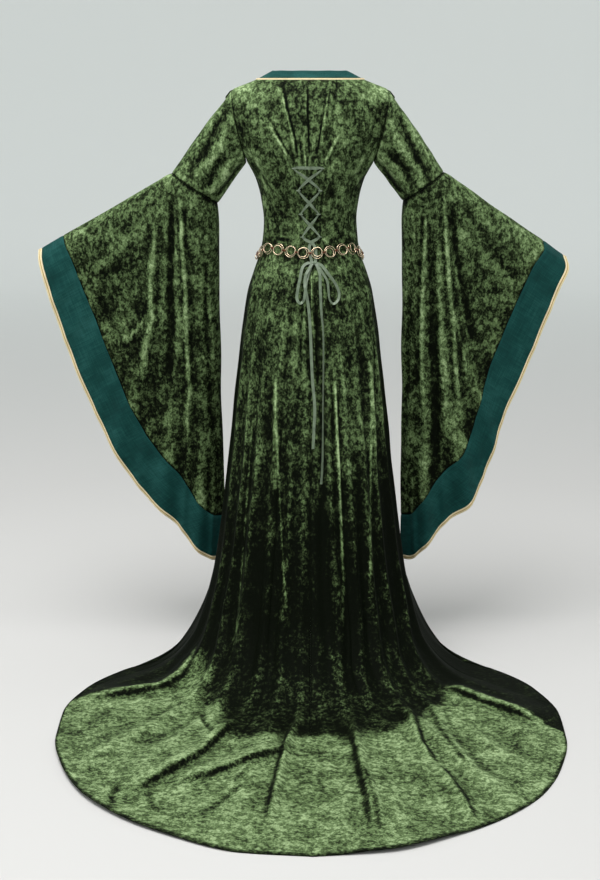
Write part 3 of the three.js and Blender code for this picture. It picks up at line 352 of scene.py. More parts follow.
LOOP_OFF = 4.3  # from the cloth to the middle of a loop's hole
LOOP_SIZE = (4.2, 2.7)  # half of its width and of its depth
LOOP_WIRE = 1.4
LOOP_SHARE = 0.42  # of the lace's width where it passes a loop
LOOPS = table("z left right", "1280 40 -29; 1225 29 -24; 1166 23 -20; 1109 19 -23")
# The lace
LACING = route(
    """-4 1047 2.2; 1 1068 3; 2 1085 3; -3 1096 2.4; -13 1102 2.4; -23 1108; -23 1110.4; 0 1138 2; 23 1165;
    23 1167.4; 1 1196 2; -24 1224; -24 1226.4; 6 1253 2; 40 1279; 40 1281.4; 26 1281.4 4; 5 1281.2 4;
    -16 1280.8 4; -29 1281.4; -29 1279; 4 1253 4.4; 29 1226.4; 29 1224; 4 1196 4.4; -20 1167.4; -20 1165;
    0 1138 4.4; 19 1110.4; 19 1108; 9 1101 4; -3 1095 4.4; -11 1085 3.6; -14 1068 3; -12.6 1047 2.1"""
)
BOW_LOOPS = {
    "left": route(
        """-4 1045 4; 8 1044 4; 18 1036 4.2; 25 1008 4.6; 31 978 5; 32 958 5; 25 949 4.6; 16 957 4; 12 980 3;
        9 1005 2.4; 1 1030 2; -4.6 1045 2"""
    ),
    "right": route(
        """-14 1044.5 4.2; -27 1039 4.2; -45 1017 4.4; -62 993 5; -70 971 5.5; -67 955 5; -57 947 4.6; -48 956 4;
        -45 980 3; -42 1003 2.4; -27 1027 2; -13.6 1045 2"""
    ),
}
LACE_ENDS = {
    "left": route(
        """-4.8 1043 5.8; 2 1032 6.3; 11 1015 6.6; 13 993 6.6; 8 964 7; 3 927 6; 0 884 5; -5 768 4; -11 690 4;
        -9 640 4; -7 590 4"""
    ),
    "right": route(
        """-13.2 1043 5.8; -18 1033 6.3; -23 1018 6.6; -24 993 6.6; -27 927 6; -31 884 5; -32 768 4; -31 652 4;
        -30 549 4; -27 503 4"""
    ),
}
KNOT = (-9, 1045, 4.6)
KNOT_SIZE = (8, 4, 3.4)
KNOT_ROWS = 22
KNOT_SIDES = 28
BELT_UNITS = 22
BELT_HEIGHT = 1066  # round which the cloth lies calm
BELT = table(
    "turn z off",
    """0 1068 7.25; 14 1070 7; 30 1074 5; 48 1078 4.8; 70 1069 4.4; 90 1057 3.8; 135 1040 3.8; 180 1032 3.8""",
)
# How the inner ring of each pair lies in the outer one: along the belt, up it, and its tilt in degrees
RING_LIES = [
    (0.8, 2.4, 14), (-2.2, -1.6, -12), (1.8, -2, 16), (-1.2, 2.2, -16), (2.4, 0.4, 10), (-2, 1.6, -8),
    (0.4, -2.4, 12),
]

# Which of the train's creases bound its painted light; beyond them shade is painted
RIGHT_RIDGE = 9
LEFT_RIDGE = 10
# How the ribbons turn about themselves: share of the length and degrees
BOW_TURNS = {"left": ((0, 0), (0.5, 25), (1, 0)), "right": ((0, 0), (0.25, -50), (0.6, -40), (1, 0))}
END_TURNS = {
    "left": ((0, 0), (0.3, 18), (0.6, -14), (1, 20)),
    "right": ((0, 0), (0.14, 10), (0.3, 52), (0.7, 60), (1, 35)),
}


def between(columns, name, at):
    """Value of a column at a value of the first one. Between the rows it is the cubic whose slopes at them are the
    harmonic means of its neighbours' slopes."""
    xs, ys = next(iter(columns.values())), columns[name]
    slope = np.diff(ys) / np.diff(xs)
    before, after = slope[:-1], slope[1:]
    total = np.where(before * after > 0, before + after, 1.0)
    middle = np.where(before * after > 0, 2 * before * after / total, 0.0)
    tangent = np.concatenate([slope[:1], middle, slope[-1:]])
    at = np.clip(at, xs[0], xs[-1])
    i = np.clip(np.searchsorted(xs, at, side="right") - 1, 0, len(xs) - 2)
    step = xs[i + 1] - xs[i]
    t = (at - xs[i]) / step
    ends = ys[i] * (1 + 2 * t) * (1 - t) ** 2 + ys[i + 1] * t * t * (3 - 2 * t)
    return ends + step * t * (1 - t) * (tangent[i] * (1 - t) - tangent[i + 1] * t)


def smoothstep(x, low, high):
    """3 t squared minus 2 t cubed, where t goes from 0 at low to 1 at high."""
    t = np.clip((x - low) / (high - low), 0, 1)
    return t * t * (3 - 2 * t)


def blend(a, b, t):
    """a at 0 and b at 1, for numbers or for points whose last axis is x, y, z."""
    t = np.asarray(t, float)
    if np.ndim(a) > np.ndim(t) or np.ndim(b) > np.ndim(t):
        t = t[..., None]
    return a + (b - a) * t


def bump(x, width):
    """exp(-(x / width) squared)."""
    return np.exp(-((x / width) ** 2))


def wrapped(turn):
    """Degrees from -180 to 180."""
    return (np.asarray(turn, float) + 180) % 360 - 180


def side_of(x):
    """-1 on the wearer's right, where x is below 0, and 1 on the left."""
    return np.where(x < 0, -1.0, 1.0)


def unit(v):
    """Vectors made one long."""
    return v / np.maximum(np.linalg.norm(v, axis=-1, keepdims=True), 1e-9)


def xyz(x, y, z):
    """Three arrays stacked as points."""
    return np.stack(np.broadcast_arrays(x, y, z), axis=-1).astype(float)


def run(points):
    """Distance along a line to each of its points."""
    return np.concatenate([[0], np.cumsum(np.linalg.norm(np.diff(points, axis=0), axis=1))])


def ringed(index):
    """An array with its first column again at its end."""
    return np.concatenate([index, index[:, :1]], axis=1)


def millimetres(name):
    """One of the sizes that a user may change, in millimetres."""
    return getattr(bpy.context.scene.dress_sizes, name) * 1000


def on_section(turn, z):
    """Point of the section at a height: half width times the sine and depth times the cosine of the turn."""
    angle = np.radians(turn)
    depth = np.where(np.cos(angle) > 0, between(SECTIONS, "back", z), between(SECTIONS, "front", z))
    return xyz(between(SECTIONS, "half", z) * np.sin(angle), depth * np.cos(angle), z)


def turn_at(x, z):
    """Turn at which the section of a height is x from the middle."""
    return np.degrees(np.arcsin(np.clip(x / between(SECTIONS, "half", z), -1, 1)))


def base_cloth(turn, row):
    """The cloth before its folds. Rows from 0 up are heights. Below 0 a row is minus the share of the way from the
    bend to the hem: the back follows a quadratic curve from the bend by the foot to the landing and then lies
    straight out to the hem, and the front goes straight down."""
    turn, row = np.broadcast_arrays(np.asarray(turn, float), np.asarray(row, float))
    out = np.clip(-row, 0, 1)
    top = on_section(turn, np.full_like(row, BEND_HEIGHT))
    foot = on_section(turn, np.zeros_like(row))
    round_ = np.abs(wrapped(turn))
    side = side_of(wrapped(turn))
    hem = xyz(side * between(HEM, "x", round_), between(HEM, "y", round_), 0 * row)
    reach = np.linalg.norm(hem - foot, axis=-1)
    landing = blend(foot, hem, np.minimum(0.5, BEND_REACH / np.maximum(1, reach)))
    t = np.clip(out / BEND_SHARE, 0, 1)[..., None]
    curve = top * (1 - t) ** 2 + foot * 2 * t * (1 - t) + landing * t * t
    lying = np.where(t < 1, curve, blend(landing, hem, (out - BEND_SHARE) / (1 - BEND_SHARE)))
    lower = blend(blend(top, hem, out), lying, 1 - smoothstep(round_, 86, 112))
    return np.where((row >= 0)[..., None], on_section(turn, np.maximum(row, 0)), lower)


def line_distance(a, b, line):
    """Distance of points (a, b) from a polyline, minus on its right side, and the share along it of the nearest
    point."""
    points = np.array(line, float)
    lengths = np.linalg.norm(np.diff(points, axis=0), axis=1)
    starts = np.concatenate([[0], np.cumsum(lengths)])
    best = np.full(np.shape(a), 1e9)
    left = np.ones(np.shape(a))
    along = np.zeros(np.shape(a))
    for n, length in enumerate(lengths):
        step = (points[n + 1] - points[n]) / length
        da, db = a - points[n][0], b - points[n][1]
        t = np.clip(da * step[0] + db * step[1], 0, length)
        away = np.hypot(da - t * step[0], db - t * step[1])
        near = away < best
        best = np.where(near, away, best)
        left = np.where(near, np.sign(step[0] * db - step[1] * da), left)
        along = np.where(near, (starts[n] + t) / starts[-1], along)
    return best * left, along


def crease_height(a, b, creases):
    """Height of all creases at points (a, b). Each is its depth times exp(-(distance / width) squared) from its line,
    with one width on each side, and it fades in and out towards the line's ends."""
    height = np.zeros(np.shape(a))
    for line, wide_left, wide_right, depth in creases:
        away, along = line_distance(a, b, line)
        fade = smoothstep(along, -0.02, 0.2) * (1 - smoothstep(along, 0.75, 1.02))
        height += depth * fade * bump(away, np.where(away > 0, wide_left, wide_right))
    return height


def crease_shade(a, b, creases):
    """How dark the steep sides of the creases look: exp(-(distance / 6) squared) from a line that is moved to the
    narrower side of a ridge by its width, and stays in a trough."""
    shade = np.zeros(np.shape(a))
    for line, wide_left, wide_right, depth in creases:
        away, along = line_distance(a, b, line)
        narrow = min(wide_left, wide_right)
        place = 0 if depth < 0 else 0.8 * (narrow if wide_left < wide_right else -narrow)
        fade = smoothstep(along, -0.02, 0.15) * (1 - smoothstep(along, 0.8, 1.02))
        strength = min(1, 0.2 + abs(depth) / 13) * (0.4 if max(wide_left, wide_right) > 13 and depth < 6 else 1)
        shade = np.maximum(shade, strength * fade * bump(away - place, 6))
    return shade


def meander(a, b, scale):
    """A soft uneven wave from -1 to 1: the mean of three sines that run across each other."""
    waves = np.sin(a / scale + 1.3 * np.sin(b / (1.7 * scale)))
    waves = waves + np.sin(b / (1.3 * scale) + 2.1 + np.sin(a / (2.3 * scale)))
    return (waves + np.sin((a + 0.8 * b) / (0.73 * scale) + 4.2)) / 3


def back_seams(z):
    """Turns of the middle seam and of the left princess seam at a height."""
    return turn_at(between(MIDDLE, "x", z), z), turn_at(between(PRINCESS, "x", z), z)


def seam_height(row):
    """Height at which the seam tables are read: the row itself, or down from the bend to the floor as a train row
    goes from 0 to -0.14."""
    return np.where(row >= 0, row, np.clip(BEND_HEIGHT * (1 + row / 0.14), 0, BEND_HEIGHT))


def fold_height(place, row, base, is_front):
    """Height of folds and creases over the cloth: a ridge exp(-4 away squared) for each row of the tables, made
    sharper by its crispness, plus the drawn creases and a slow unevenness."""
    out = np.clip(-row, 0, 1)
    growth = between(FOLD_GROWTH, "share", seam_height(row))
    fade = 1 - 0.75 * smoothstep(out, 0.8, 1)
    lying = smoothstep(out, 0, 0.45)
    sizes = bpy.context.scene.dress_sizes
    wander = smoothstep(900 - row, 0, 500) * (1 - smoothstep(out, 0, 0.25))
    shift = 0.9 * np.sin(seam_height(row) / 150 + place / 7) * wander
    height = -TROUGH_INSET * growth * (1 - lying)
    for at, width, skirt, train, crisp in zip(*FOLDS.values()):
        away = wrapped(place - at - shift) / width
        ridge = blend(np.exp(-4 * away**2), np.exp(-3.2 * (np.sqrt(away**2 + 0.01) - 0.1)), crisp)
        height = height + blend(skirt * growth, train * fade, lying) * ridge
    for at, width, skirt, train in zip(*RIPPLES.values()):
        away = wrapped(place - at - 1.6 * shift) / width
        uneven = 0.75 + 0.25 * np.sin(seam_height(row) / 90 + at)
        height = height + blend(skirt * growth * uneven, train * fade, lying) * np.exp(-4 * away**2)
    if is_front:
        creases = crease_height(base[..., 0], base[..., 2], FRONT_CREASES)
    else:
        lift = smoothstep(base[..., 2], 120, 240)
        creases = 1.35 * lift * crease_height(base[..., 0], base[..., 2], BACK_CREASES)
        creases += smoothstep(out, 0.12, 0.4) * crease_height(base[..., 0], base[..., 1], TRAIN_CREASES)
    under_belt = bump(row - BELT_HEIGHT, 30)
    uneven = 1.2 * meander(base[..., 0] + base[..., 1], base[..., 2], 26) * (1 - 0.8 * under_belt)
    uneven = uneven * (1 - smoothstep(row, 1440, 1480))
    return height * sizes.fold_depth + (creases + uneven * (1 - lying)) * sizes.crease_depth


def edge_turn(side, z):
    """Turn of the side seam, and of the armhole above it."""
    seam = np.where(side > 0, between(SIDE_SEAM, "left", z), between(SIDE_SEAM, "right", z))
    hole = turn_at(between(ARMHOLE, "x", z), z)
    return np.where((z > ARMPIT_HEIGHT) & (z < HELD_HEIGHT), hole, seam)


def back_turn(place, row):
    """Turn of a place on the back: even steps from the middle seam to the princess seam, and on to the side."""
    z = seam_height(row)
    middle, princess = back_seams(z)
    round_ = np.abs(place)
    side = side_of(place)
    outer = side * blend(princess, edge_turn(side, z), (round_ - PRINCESS_PLACE) / (SIDE_PLACE - PRINCESS_PLACE))
    return np.where(round_ <= PRINCESS_PLACE, blend(middle, side * princess, round_ / PRINCESS_PLACE), outer)


def front_turn(place, row):
    """Turn and row of a place on the front. Above the bust its rows dip to the scooped neckline."""
    around = wrapped(place)
    side = side_of(around)
    share = (180 - np.abs(around)) / (180 - SIDE_PLACE)
    z = seam_height(row)
    edge = edge_turn(side, z)
    on_armhole = (row > ARMPIT_HEIGHT) & (row < HELD_HEIGHT)
    reach = np.where(on_armhole, edge, 180 - edge)
    rise = np.clip((row - BUST_HEIGHT) / (NECK_HEIGHT - BUST_HEIGHT), 0, 1)
    angle = np.radians(np.clip(share * 90, 0, 90))
    neck_z = NECK_HEIGHT - NECK_DROP * np.cos(angle)
    neck_reach = turn_at(NECK_HALF_WIDTH * np.sin(angle), neck_z)
    turn = side * (180 - blend(share * reach, neck_reach, rise**3))
    return turn, np.where(row <= BUST_HEIGHT, row, BUST_HEIGHT + rise * (neck_z - BUST_HEIGHT))


def gown(place, row, off=0.0, is_front=False):
    """Points of the folded cloth, moved out along the base's normal by the folds' height and a distance."""
    place, row = np.broadcast_arrays(np.asarray(place, float), np.asarray(row, float))

    def level(p, r):
        """Turn and row of a place, from the front or from the back."""
        return front_turn(p, r) if is_front else (back_turn(p, r), r)

    def base(p, r):
        """Point of the cloth without folds at a place."""
        return base_cloth(*level(p, r))

    step = np.where(row > 0, 1.0, 0.01)
    low = np.where(row > 0, np.maximum(row - step, 0.01), np.maximum(row - step, -1))
    high = np.where(row > 0, row + step, np.minimum(row + step, -1e-4))
    down = base(place, low) - base(place, high)
    around = base(place + 0.3, row) - base(place - 0.3, row)
    normal = unit(np.cross(around, down))
    turn, height_row = level(place, row)
    here = base_cloth(turn, height_row)
    points = here + normal * (fold_height(place, height_row, here, is_front) + off)[..., None]
    lift = between(HEM_LIFT, "lift", wrapped(turn)) * smoothstep(-row, 0.9, 1) ** 2
    points[..., 2] = np.maximum(points[..., 2] + lift, OUTER_LIE + off)
    return points


def off_back(x, z, off):
    """Points off the cloth of the back, by distance from the middle and height."""
    x, z, off = np.broadcast_arrays(np.asarray(x, float), np.asarray(z, float), np.asarray(off, float))
    turn = turn_at(x, z)
    middle, princess = back_seams(z)
    side = side_of(turn - middle)
    edge = edge_turn(side, z)
    inner = PRINCESS_PLACE * np.abs((turn - middle) / (princess - side * middle))
    beyond = blend(PRINCESS_PLACE, SIDE_PLACE, (np.abs(turn) - princess) / (edge - princess))
    return gown(side * np.where(np.abs(turn) < princess, inner, beyond), z, off)


def grid_normals(points, looped=False):
    """Unit normals of a grid of points: the cross product of its steps along rows and columns."""
    if looped:
        across = np.roll(points, -1, axis=1) - np.roll(points, 1, axis=1)
    else:
        across = np.gradient(points, axis=1)
    return unit(np.cross(across, np.gradient(points, axis=0)))


def mesh_from(name, points, groups, uv=None):
    """A smooth mesh from points in millimetres above the floor and arrays of polygons, each array with as many
    corners a polygon as it has columns. The UV map is given for each corner, in metres."""
    mesh = bpy.data.meshes.new(name)
    local = (np.asarray(points, float) - (0, 0, HELD_HEIGHT)) * 0.001
    corners = np.concatenate([np.full(len(group), group.shape[1]) for group in groups])
    mesh.vertices.add(len(local))
    mesh.vertices.foreach_set("co", local.astype(np.float32).ravel())
    mesh.loops.add(int(corners.sum()))
    mesh.loops.foreach_set("vertex_index", np.concatenate([group.ravel() for group in groups]).astype(np.int32))
    mesh.polygons.add(len(corners))
    starts = np.concatenate([[0], np.cumsum(corners)[:-1]])
    mesh.polygons.foreach_set("loop_start", starts.astype(np.int32))
    mesh.polygons.foreach_set("use_smooth", np.ones(len(corners), bool))
    if uv is not None:
        layer = mesh.uv_layers.new(name="UVMap")
        layer.data.foreach_set("uv", uv.astype(np.float32).ravel())
    mesh.update(calc_edges=True)
    mesh.set_sharp_from_angle(angle=SHARP_ANGLE)
    return mesh


def is_outward(points, groups):
    """True if the closed surface's faces point out: if its volume, summed over fans of triangles, is positive."""
    volume = 0.0
    for group in groups:
        a = points[group[:, 0]]
        for k in range(1, group.shape[1] - 1):
            volume += np.sum(np.cross(a, points[group[:, k]]) * points[group[:, k + 1]])
    return volume > 0


def outward(points, groups):
    """The polygon arrays, turned round if they face inwards."""
    return groups if is_outward(points, groups) else [group[:, ::-1] for group in groups]


def grid_quads(index):
    """Quads between the neighbouring rows and columns of an array of vertex numbers."""
    return np.stack([index[:-1, :-1], index[1:, :-1], index[1:, 1:], index[:-1, 1:]], axis=-1).reshape(-1, 4)


def shell(name, outer, inner, slot, looped=False, painted_shading=None):
    """A closed cloth wall: a grid of outer points, its inner partner, and the strips that join their edges. Its UV map
    runs along the columns and rows of the outer grid, and the painted light and shade is kept as an attribute of its
    points."""
    rows, columns = outer.shape[:2]
    index = np.arange(rows * columns).reshape(rows, columns)
    across = np.cumsum(np.linalg.norm(np.diff(outer, axis=1, append=outer[:, :1]), axis=2), axis=1)
    u = np.concatenate([np.zeros((rows, 1)), across], axis=1)
    down = np.cumsum(np.linalg.norm(np.diff(outer, axis=0), axis=2), axis=0)
    v = np.concatenate([np.zeros((1, columns)), down], axis=0)
    v = ringed(v)
    if looped:
        index = ringed(index)
    wide = index.shape[1]
    uv = np.stack([u, v], axis=-1)[:, :wide].reshape(-1, 2)
    spots = np.arange(rows * wide).reshape(rows, wide)

    def edges(line, partner):
        """Faces that join a border's points to those of the other layer."""
        return np.stack([line[:-1], line[1:], partner[1:], partner[:-1]], axis=-1)

    count = rows * columns
    flat = index.reshape(-1)
    borders = [(spots[0], -1), (spots[-1], 1)]
    if not looped:
        borders += [(spots[:, 0], 1), (spots[:, -1], -1)]
    vertex_faces = [grid_quads(index), grid_quads(index + count)[:, ::-1]]
    uv_faces = [grid_quads(spots), grid_quads(spots)[:, ::-1]]
    for line, way in borders:
        vertex_faces.append(edges(flat[line], flat[line] + count)[:, ::way])
        uv_faces.append(edges(line, line)[:, ::way])
    points = np.concatenate([outer.reshape(-1, 3), inner.reshape(-1, 3)])
    polygons, uv_polygons = np.concatenate(vertex_faces), np.concatenate(uv_faces)
    if not is_outward(points, [polygons]):
        polygons, uv_polygons = polygons[:, ::-1], uv_polygons[:, ::-1]
    mesh = mesh_from(name, points, [polygons], uv[uv_polygons].reshape(-1, 2) * 0.001)
    if painted_shading is not None:
        values = np.tile(np.broadcast_to(painted_shading, (rows, columns)).reshape(-1), 2)
        mesh.attributes.new("painted_shading", "FLOAT", "POINT").data.foreach_set("value", values.astype(np.float32))
    return made_piece(name, mesh, slot)


def made_piece(name, mesh, slot, finish=None):
    """An object for a mesh, that stands for the solid of the same name, in the finish of its slot or in another."""
    made = bpy.data.objects.new(name + "_made", mesh)
    bpy.context.scene.collection.objects.link(made)
    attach(made, "root")
    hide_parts(name)
    mesh.materials.append(material_of(finish or slot))
    return made


def relief(points, normal, reach, axis=1, looped=False):
    """How far each point of a grid stands out from the mean of its neighbours up to a reach away, in millimetres."""
    wide = [(0, 0)] * 3
    wide[axis] = (reach, reach)
    padded = np.pad(points, wide, mode="wrap" if looped else "edge")
    wide[axis] = (1, 0)
    total = np.cumsum(np.pad(padded, wide), axis=axis)
    count = 2 * reach + 1
    length = total.shape[axis]
    ahead = np.take(total, np.arange(count, length), axis=axis)
    behind = np.take(total, np.arange(length - count), axis=axis)
    return np.sum((points - (ahead - behind) / count) * normal, axis=-1)


def edge_distance(points, axis):
    """Distance of each point of a grid from the nearer of its first and last lines, measured along the grid."""
    steps = np.linalg.norm(np.diff(points, axis=axis), axis=2)
    first = np.zeros_like(np.take(steps, [0], axis=axis))
    ahead = np.concatenate([first, np.cumsum(steps, axis=axis)], axis=axis)
    total = np.take(ahead, [-1], axis=axis)
    return np.minimum(ahead, total - ahead)


def seam_groove(distance, depth=1.3, width=2.6):
    """Depth of a seam's groove: -depth times exp(-(distance / width) squared)."""
    return -depth * bump(distance, width)


def gown_rows():
    """Rows of the body panels, fine enough for the creases: heights, then shares of the way out to the hem."""
    heights = np.concatenate([[1495, 1492], np.linspace(1488, 1472, 4), np.linspace(1466, BEND_HEIGHT, GOWN_HEIGHTS)])
    shares = np.concatenate([np.linspace(0.004, 0.965, GOWN_SHARES), np.linspace(0.971, 1, HEM_SHARES)])
    return np.concatenate([heights, -shares])


def panel_places(start, end, steps):
    """Places across a panel, with a few more beside its seams."""
    close = np.array([0, 0.06, 0.16, 0.34])
    return np.concatenate([start + close, np.linspace(start + 0.7, end - 0.7, steps), end - close[::-1]])


def painted_shading_of(points, place, rows, seam):
    """Painted light and shade on the velvet, from 0 to 1: high (painted light) on the shoulders, low (painted shade) at
    the foot of the skirt, high again on the train, and low beyond the ridges that bound it. Folds that stand out get
    painted light, troughs and seams painted shade, some lines of the back a painted sheen or painted shade, and the
    skirt's sides and the hem's edge painted shade."""
    x, y, z = points[..., 0], points[..., 1], points[..., 2]
    # Painted light on the body, less on the shoulders, fading to painted shade down the foot of the skirt
    painted_shading = blend(0.5, 0.4, smoothstep(1070 - z, 0, 130)) - 0.12 * smoothstep(z, 1380, 1480)
    painted_shading = blend(painted_shading, 0.02, smoothstep(720 - z, 0, 420)) - 0.12 * smoothstep(-rows, 0, 0.15)
    foot, _ = line_distance(x, y, FOOT_EDGE)
    lying = smoothstep(24 * meander(x, y, 30) - foot, -26, 26) * smoothstep(-rows, 0.1, 0.3)
    right, _ = line_distance(x, y, TRAIN_CREASES[RIGHT_RIDGE][0])
    left, _ = line_distance(x, y, TRAIN_CREASES[LEFT_RIDGE][0])
    beyond = np.maximum(smoothstep(right, 0, 20), smoothstep(-left, 0, 24))
    beyond = np.maximum(beyond, 1 - smoothstep(y, 20, 110))
    # Painted light on the train, with painted shade beyond its ridges and on the steep sides of its creases
    train = blend(0.5, -0.25, beyond) - 0.7 * crease_shade(x, y, TRAIN_CREASES)
    normal = outward_normals(points, rows)
    # Painted light on folds that stand out, painted shade in troughs
    stands_out = np.clip(relief(points, normal, 7) / 2.2 + relief(points, normal, 5, 0) / 3.5, -1, 1.5)
    stands_out = stands_out * blend(blend(0.2, 0.12, smoothstep(700 - z, 0, 400)), 0.09, lying)
    # Painted sheen and painted shade along the drawn lines of the back
    shine = crease_height(x, z, PAINTED_SHEEN_AND_SHADE_LINES) * (1 - smoothstep(-rows, 0.1, 0.3)) * (y > 0)
    # Painted shade on the skirt's sides, which turn away from the light
    at_side = smoothstep(np.abs(wrapped(place)), 66, 76) * (1 - smoothstep(np.abs(wrapped(place)), 110, 130))
    sides = -0.4 * at_side * smoothstep(1040 - z, 0, 60) * (1 - lying)
    # Painted shade in the seams' grooves
    seam_shade = -blend(0.16, 0.03, lying) * bump(seam, 3)
    shine = shine * blend(0.5, 0.85, smoothstep(800 - z, 0, 300))
    # Painted shadow along the hem's edge
    hem = -0.5 * smoothstep(-rows, 0.985, 0.997)
    return blend(painted_shading, train, lying) + stands_out + shine + sides + seam_shade + hem


def make_panel(name, start, end, steps, is_front=False):
    """One panel of the gown, from its place on one seam to its place on the next."""
    places = panel_places(start, end, steps)
    rows = gown_rows()
    if is_front:
        lower = GOWN_SHARES + HEM_SHARES
        rows = np.concatenate([rows[:-lower:2], rows[-lower::3], [-1]])
        rows = rows[np.sort(np.unique(rows, return_index=True)[1])]
    place, row = np.meshgrid(places, rows)
    thickness = millimetres("cloth_thickness")
    plain = gown(place, row, 0, is_front)
    seam = edge_distance(plain, 1)
    groove = seam_groove(seam, 1.2, 2.4)
    stitches = -0.9 * bump(-row - HEM_STITCHES, 0.0035)
    lying = smoothstep(-row, 0.3, 0.6)
    height = groove * (1 - 0.8 * lying) + stitches
    outer = lifted(plain, height, row)
    inner = gown(place, row, -thickness, is_front)
    inner = lifted(inner, np.minimum(height, 0) * 0.6, row)
    inward = unit(outer[:, 1:2] - outer[:, :1]) * SEAM_GAP / 2
    outward_end = unit(outer[:, -2:-1] - outer[:, -1:]) * SEAM_GAP / 2
    for grid in (outer, inner):
        grid[:, :1] += inward
        grid[:, -1:] += outward_end
    shell(name, outer, inner, "velvet", painted_shading=painted_shading_of(plain, place, row, seam))


def outward_normals(points, row):
    """Normals of a gown grid, turned to point out and up."""
    normal = grid_normals(points)
    middle = points - xyz(0 * row, 0 * row, points[..., 2])
    facing_out = np.sum(normal * np.where((row >= 0)[..., None], middle, (0.0, 0.0, 1.0)), axis=-1)
    return normal * np.where(np.sum(facing_out) < 0, -1.0, 1.0)


def lifted(points, height, row):
    """Points of a gown grid moved along its outward normals, and kept on the floor."""
    moved = points + outward_normals(points, row) * height[..., None]
    moved[..., 2] = np.maximum(moved[..., 2], 0.2)
    return moved


def elbow_ring(name, u, inset=0.0):
    """Elbow seam of a sleeve: an ellipse through its upper and lower points, made smaller by an inset."""
    (upper_x, upper_z), (lower_x, lower_z) = SLEEVES[name]["upper"], SLEEVES[name]["lower"]
    x, z = (upper_x - lower_x) / 2, (upper_z - lower_z) / 2
    reach = (math.hypot(x, z) - inset) / math.hypot(x, z)
    wave = np.cos(2 * math.pi * u) * reach
    y = SLEEVES[name]["elbow"] + np.sin(2 * math.pi * u) * (UPPER_ARM_DEPTH - inset)
    return xyz(SIDES[name] * (lower_x + x + wave * x), y, lower_z + z + wave * z)


def armhole_ring(name, s):
    """Armhole seam: s runs from the shoulder (0) down the back to the armpit (0.5) and up the front (1)."""
    side = SIDES[name]
    is_back = s <= 0.5
    wave = np.cos(2 * math.pi * np.where(is_back, s, 1 - s))
    z = (HELD_HEIGHT * (1 + wave) + ARMPIT_HEIGHT * (1 - wave)) / 2
    on_edge = (z > ARMPIT_HEIGHT + 1e-6) & (z < HELD_HEIGHT - 1e-6)
    turn = np.where(on_edge, edge_turn(side, z), 90.0)
    return on_section(side * np.where(is_back, turn, 180 - turn), z)


def outward_height(points, height, looped=True):
    """A ring grid moved by a height along its normals, which are turned to point away from the rings' middles."""
    normal = grid_normals(points, looped)
    middle = points.mean(axis=1, keepdims=True)
    if np.sum(normal * (points - middle)) < 0:
        normal = -normal
    return points + normal * np.broadcast_to(height, points.shape[:2])[..., None]


def make_upper_sleeve(name):
    """The close tube from the armhole to the elbow: straight lines between the two seams, with drag wrinkles that
    swell as the sine of the way along."""
    sizes = bpy.context.scene.dress_sizes
    s, v = np.meshgrid(np.arange(ARM_COLUMNS) / ARM_COLUMNS, np.linspace(0.002, 0.998, ARM_ROWS))
    start, finish = armhole_ring(name, s), elbow_ring(name, s)
    points = blend(start, finish, v)
    height = np.zeros_like(s)
    for begin, end, width, depth in zip(*ARM_CREASES.values()):
        away = (s - blend(begin, end, v) - 0.012 * np.sin(v * 9 + begin * 20) + 0.5) % 1 - 0.5
        height += depth * bump(away, width) * np.sin(math.pi * v) ** 0.8
    height += 1.6 * meander(points[..., 2], points[..., 0] + points[..., 1], 17) * np.sin(math.pi * v)
    height += 3.5 * np.sin(math.pi * v) ** 2 * np.exp(-(((s + 0.5) % 1 - 0.5) ** 2) / 0.02)
    length = np.linalg.norm(finish - start, axis=-1)
    to_seam = np.minimum(v, 1 - v) * length
    height = height * sizes.crease_depth + seam_groove(to_seam, 1.5, 2.6)
    outer = outward_height(points, height)
    inner = outward_height(points, height - millimetres("cloth_thickness"))
    part = "upper_sleeve_" + name
    normal = unit(outer - inner)
    stands_out = relief(outer, normal, 5, 1, True) / 2 + relief(outer, normal, 4, 0) / 2
    # Painted light on wrinkles that stand out, painted shade in troughs and beside the seams
    painted_shading = 0.38 + 0.3 * np.clip(stands_out, -1, 1.4) - 0.4 * bump(to_seam, 3)
    shell(part, outer, inner, "velvet", True, painted_shading)


def edge_share(u):
    """Share along the bell's edge: (1 - cos(pi h)) / 2, where h goes from 0 at the top to 1 at the tip."""
    half = np.where(u <= 0.5, 2 * u, 2 - 2 * u)
    return (1 - np.cos(math.pi * half)) / 2


def bell_base(name, u, v):
    """The bell before its folds: straight lines from the elbow seam (v 0) to the outer edge (v 1)."""
    u = u % 1
    share = edge_share(u)
    depth = between(SLEEVE_EDGE, "depth", share) * np.where(u <= 0.5, 1, -1)
    x = SIDES[name] * between(SLEEVE_EDGE, name + "X", share)
    y = blend(SLEEVES[name]["wrist"], SLEEVES[name]["tip"], share) + depth
    return blend(elbow_ring(name, u), xyz(x, y, between(SLEEVE_EDGE, name + "Z", share)), v)


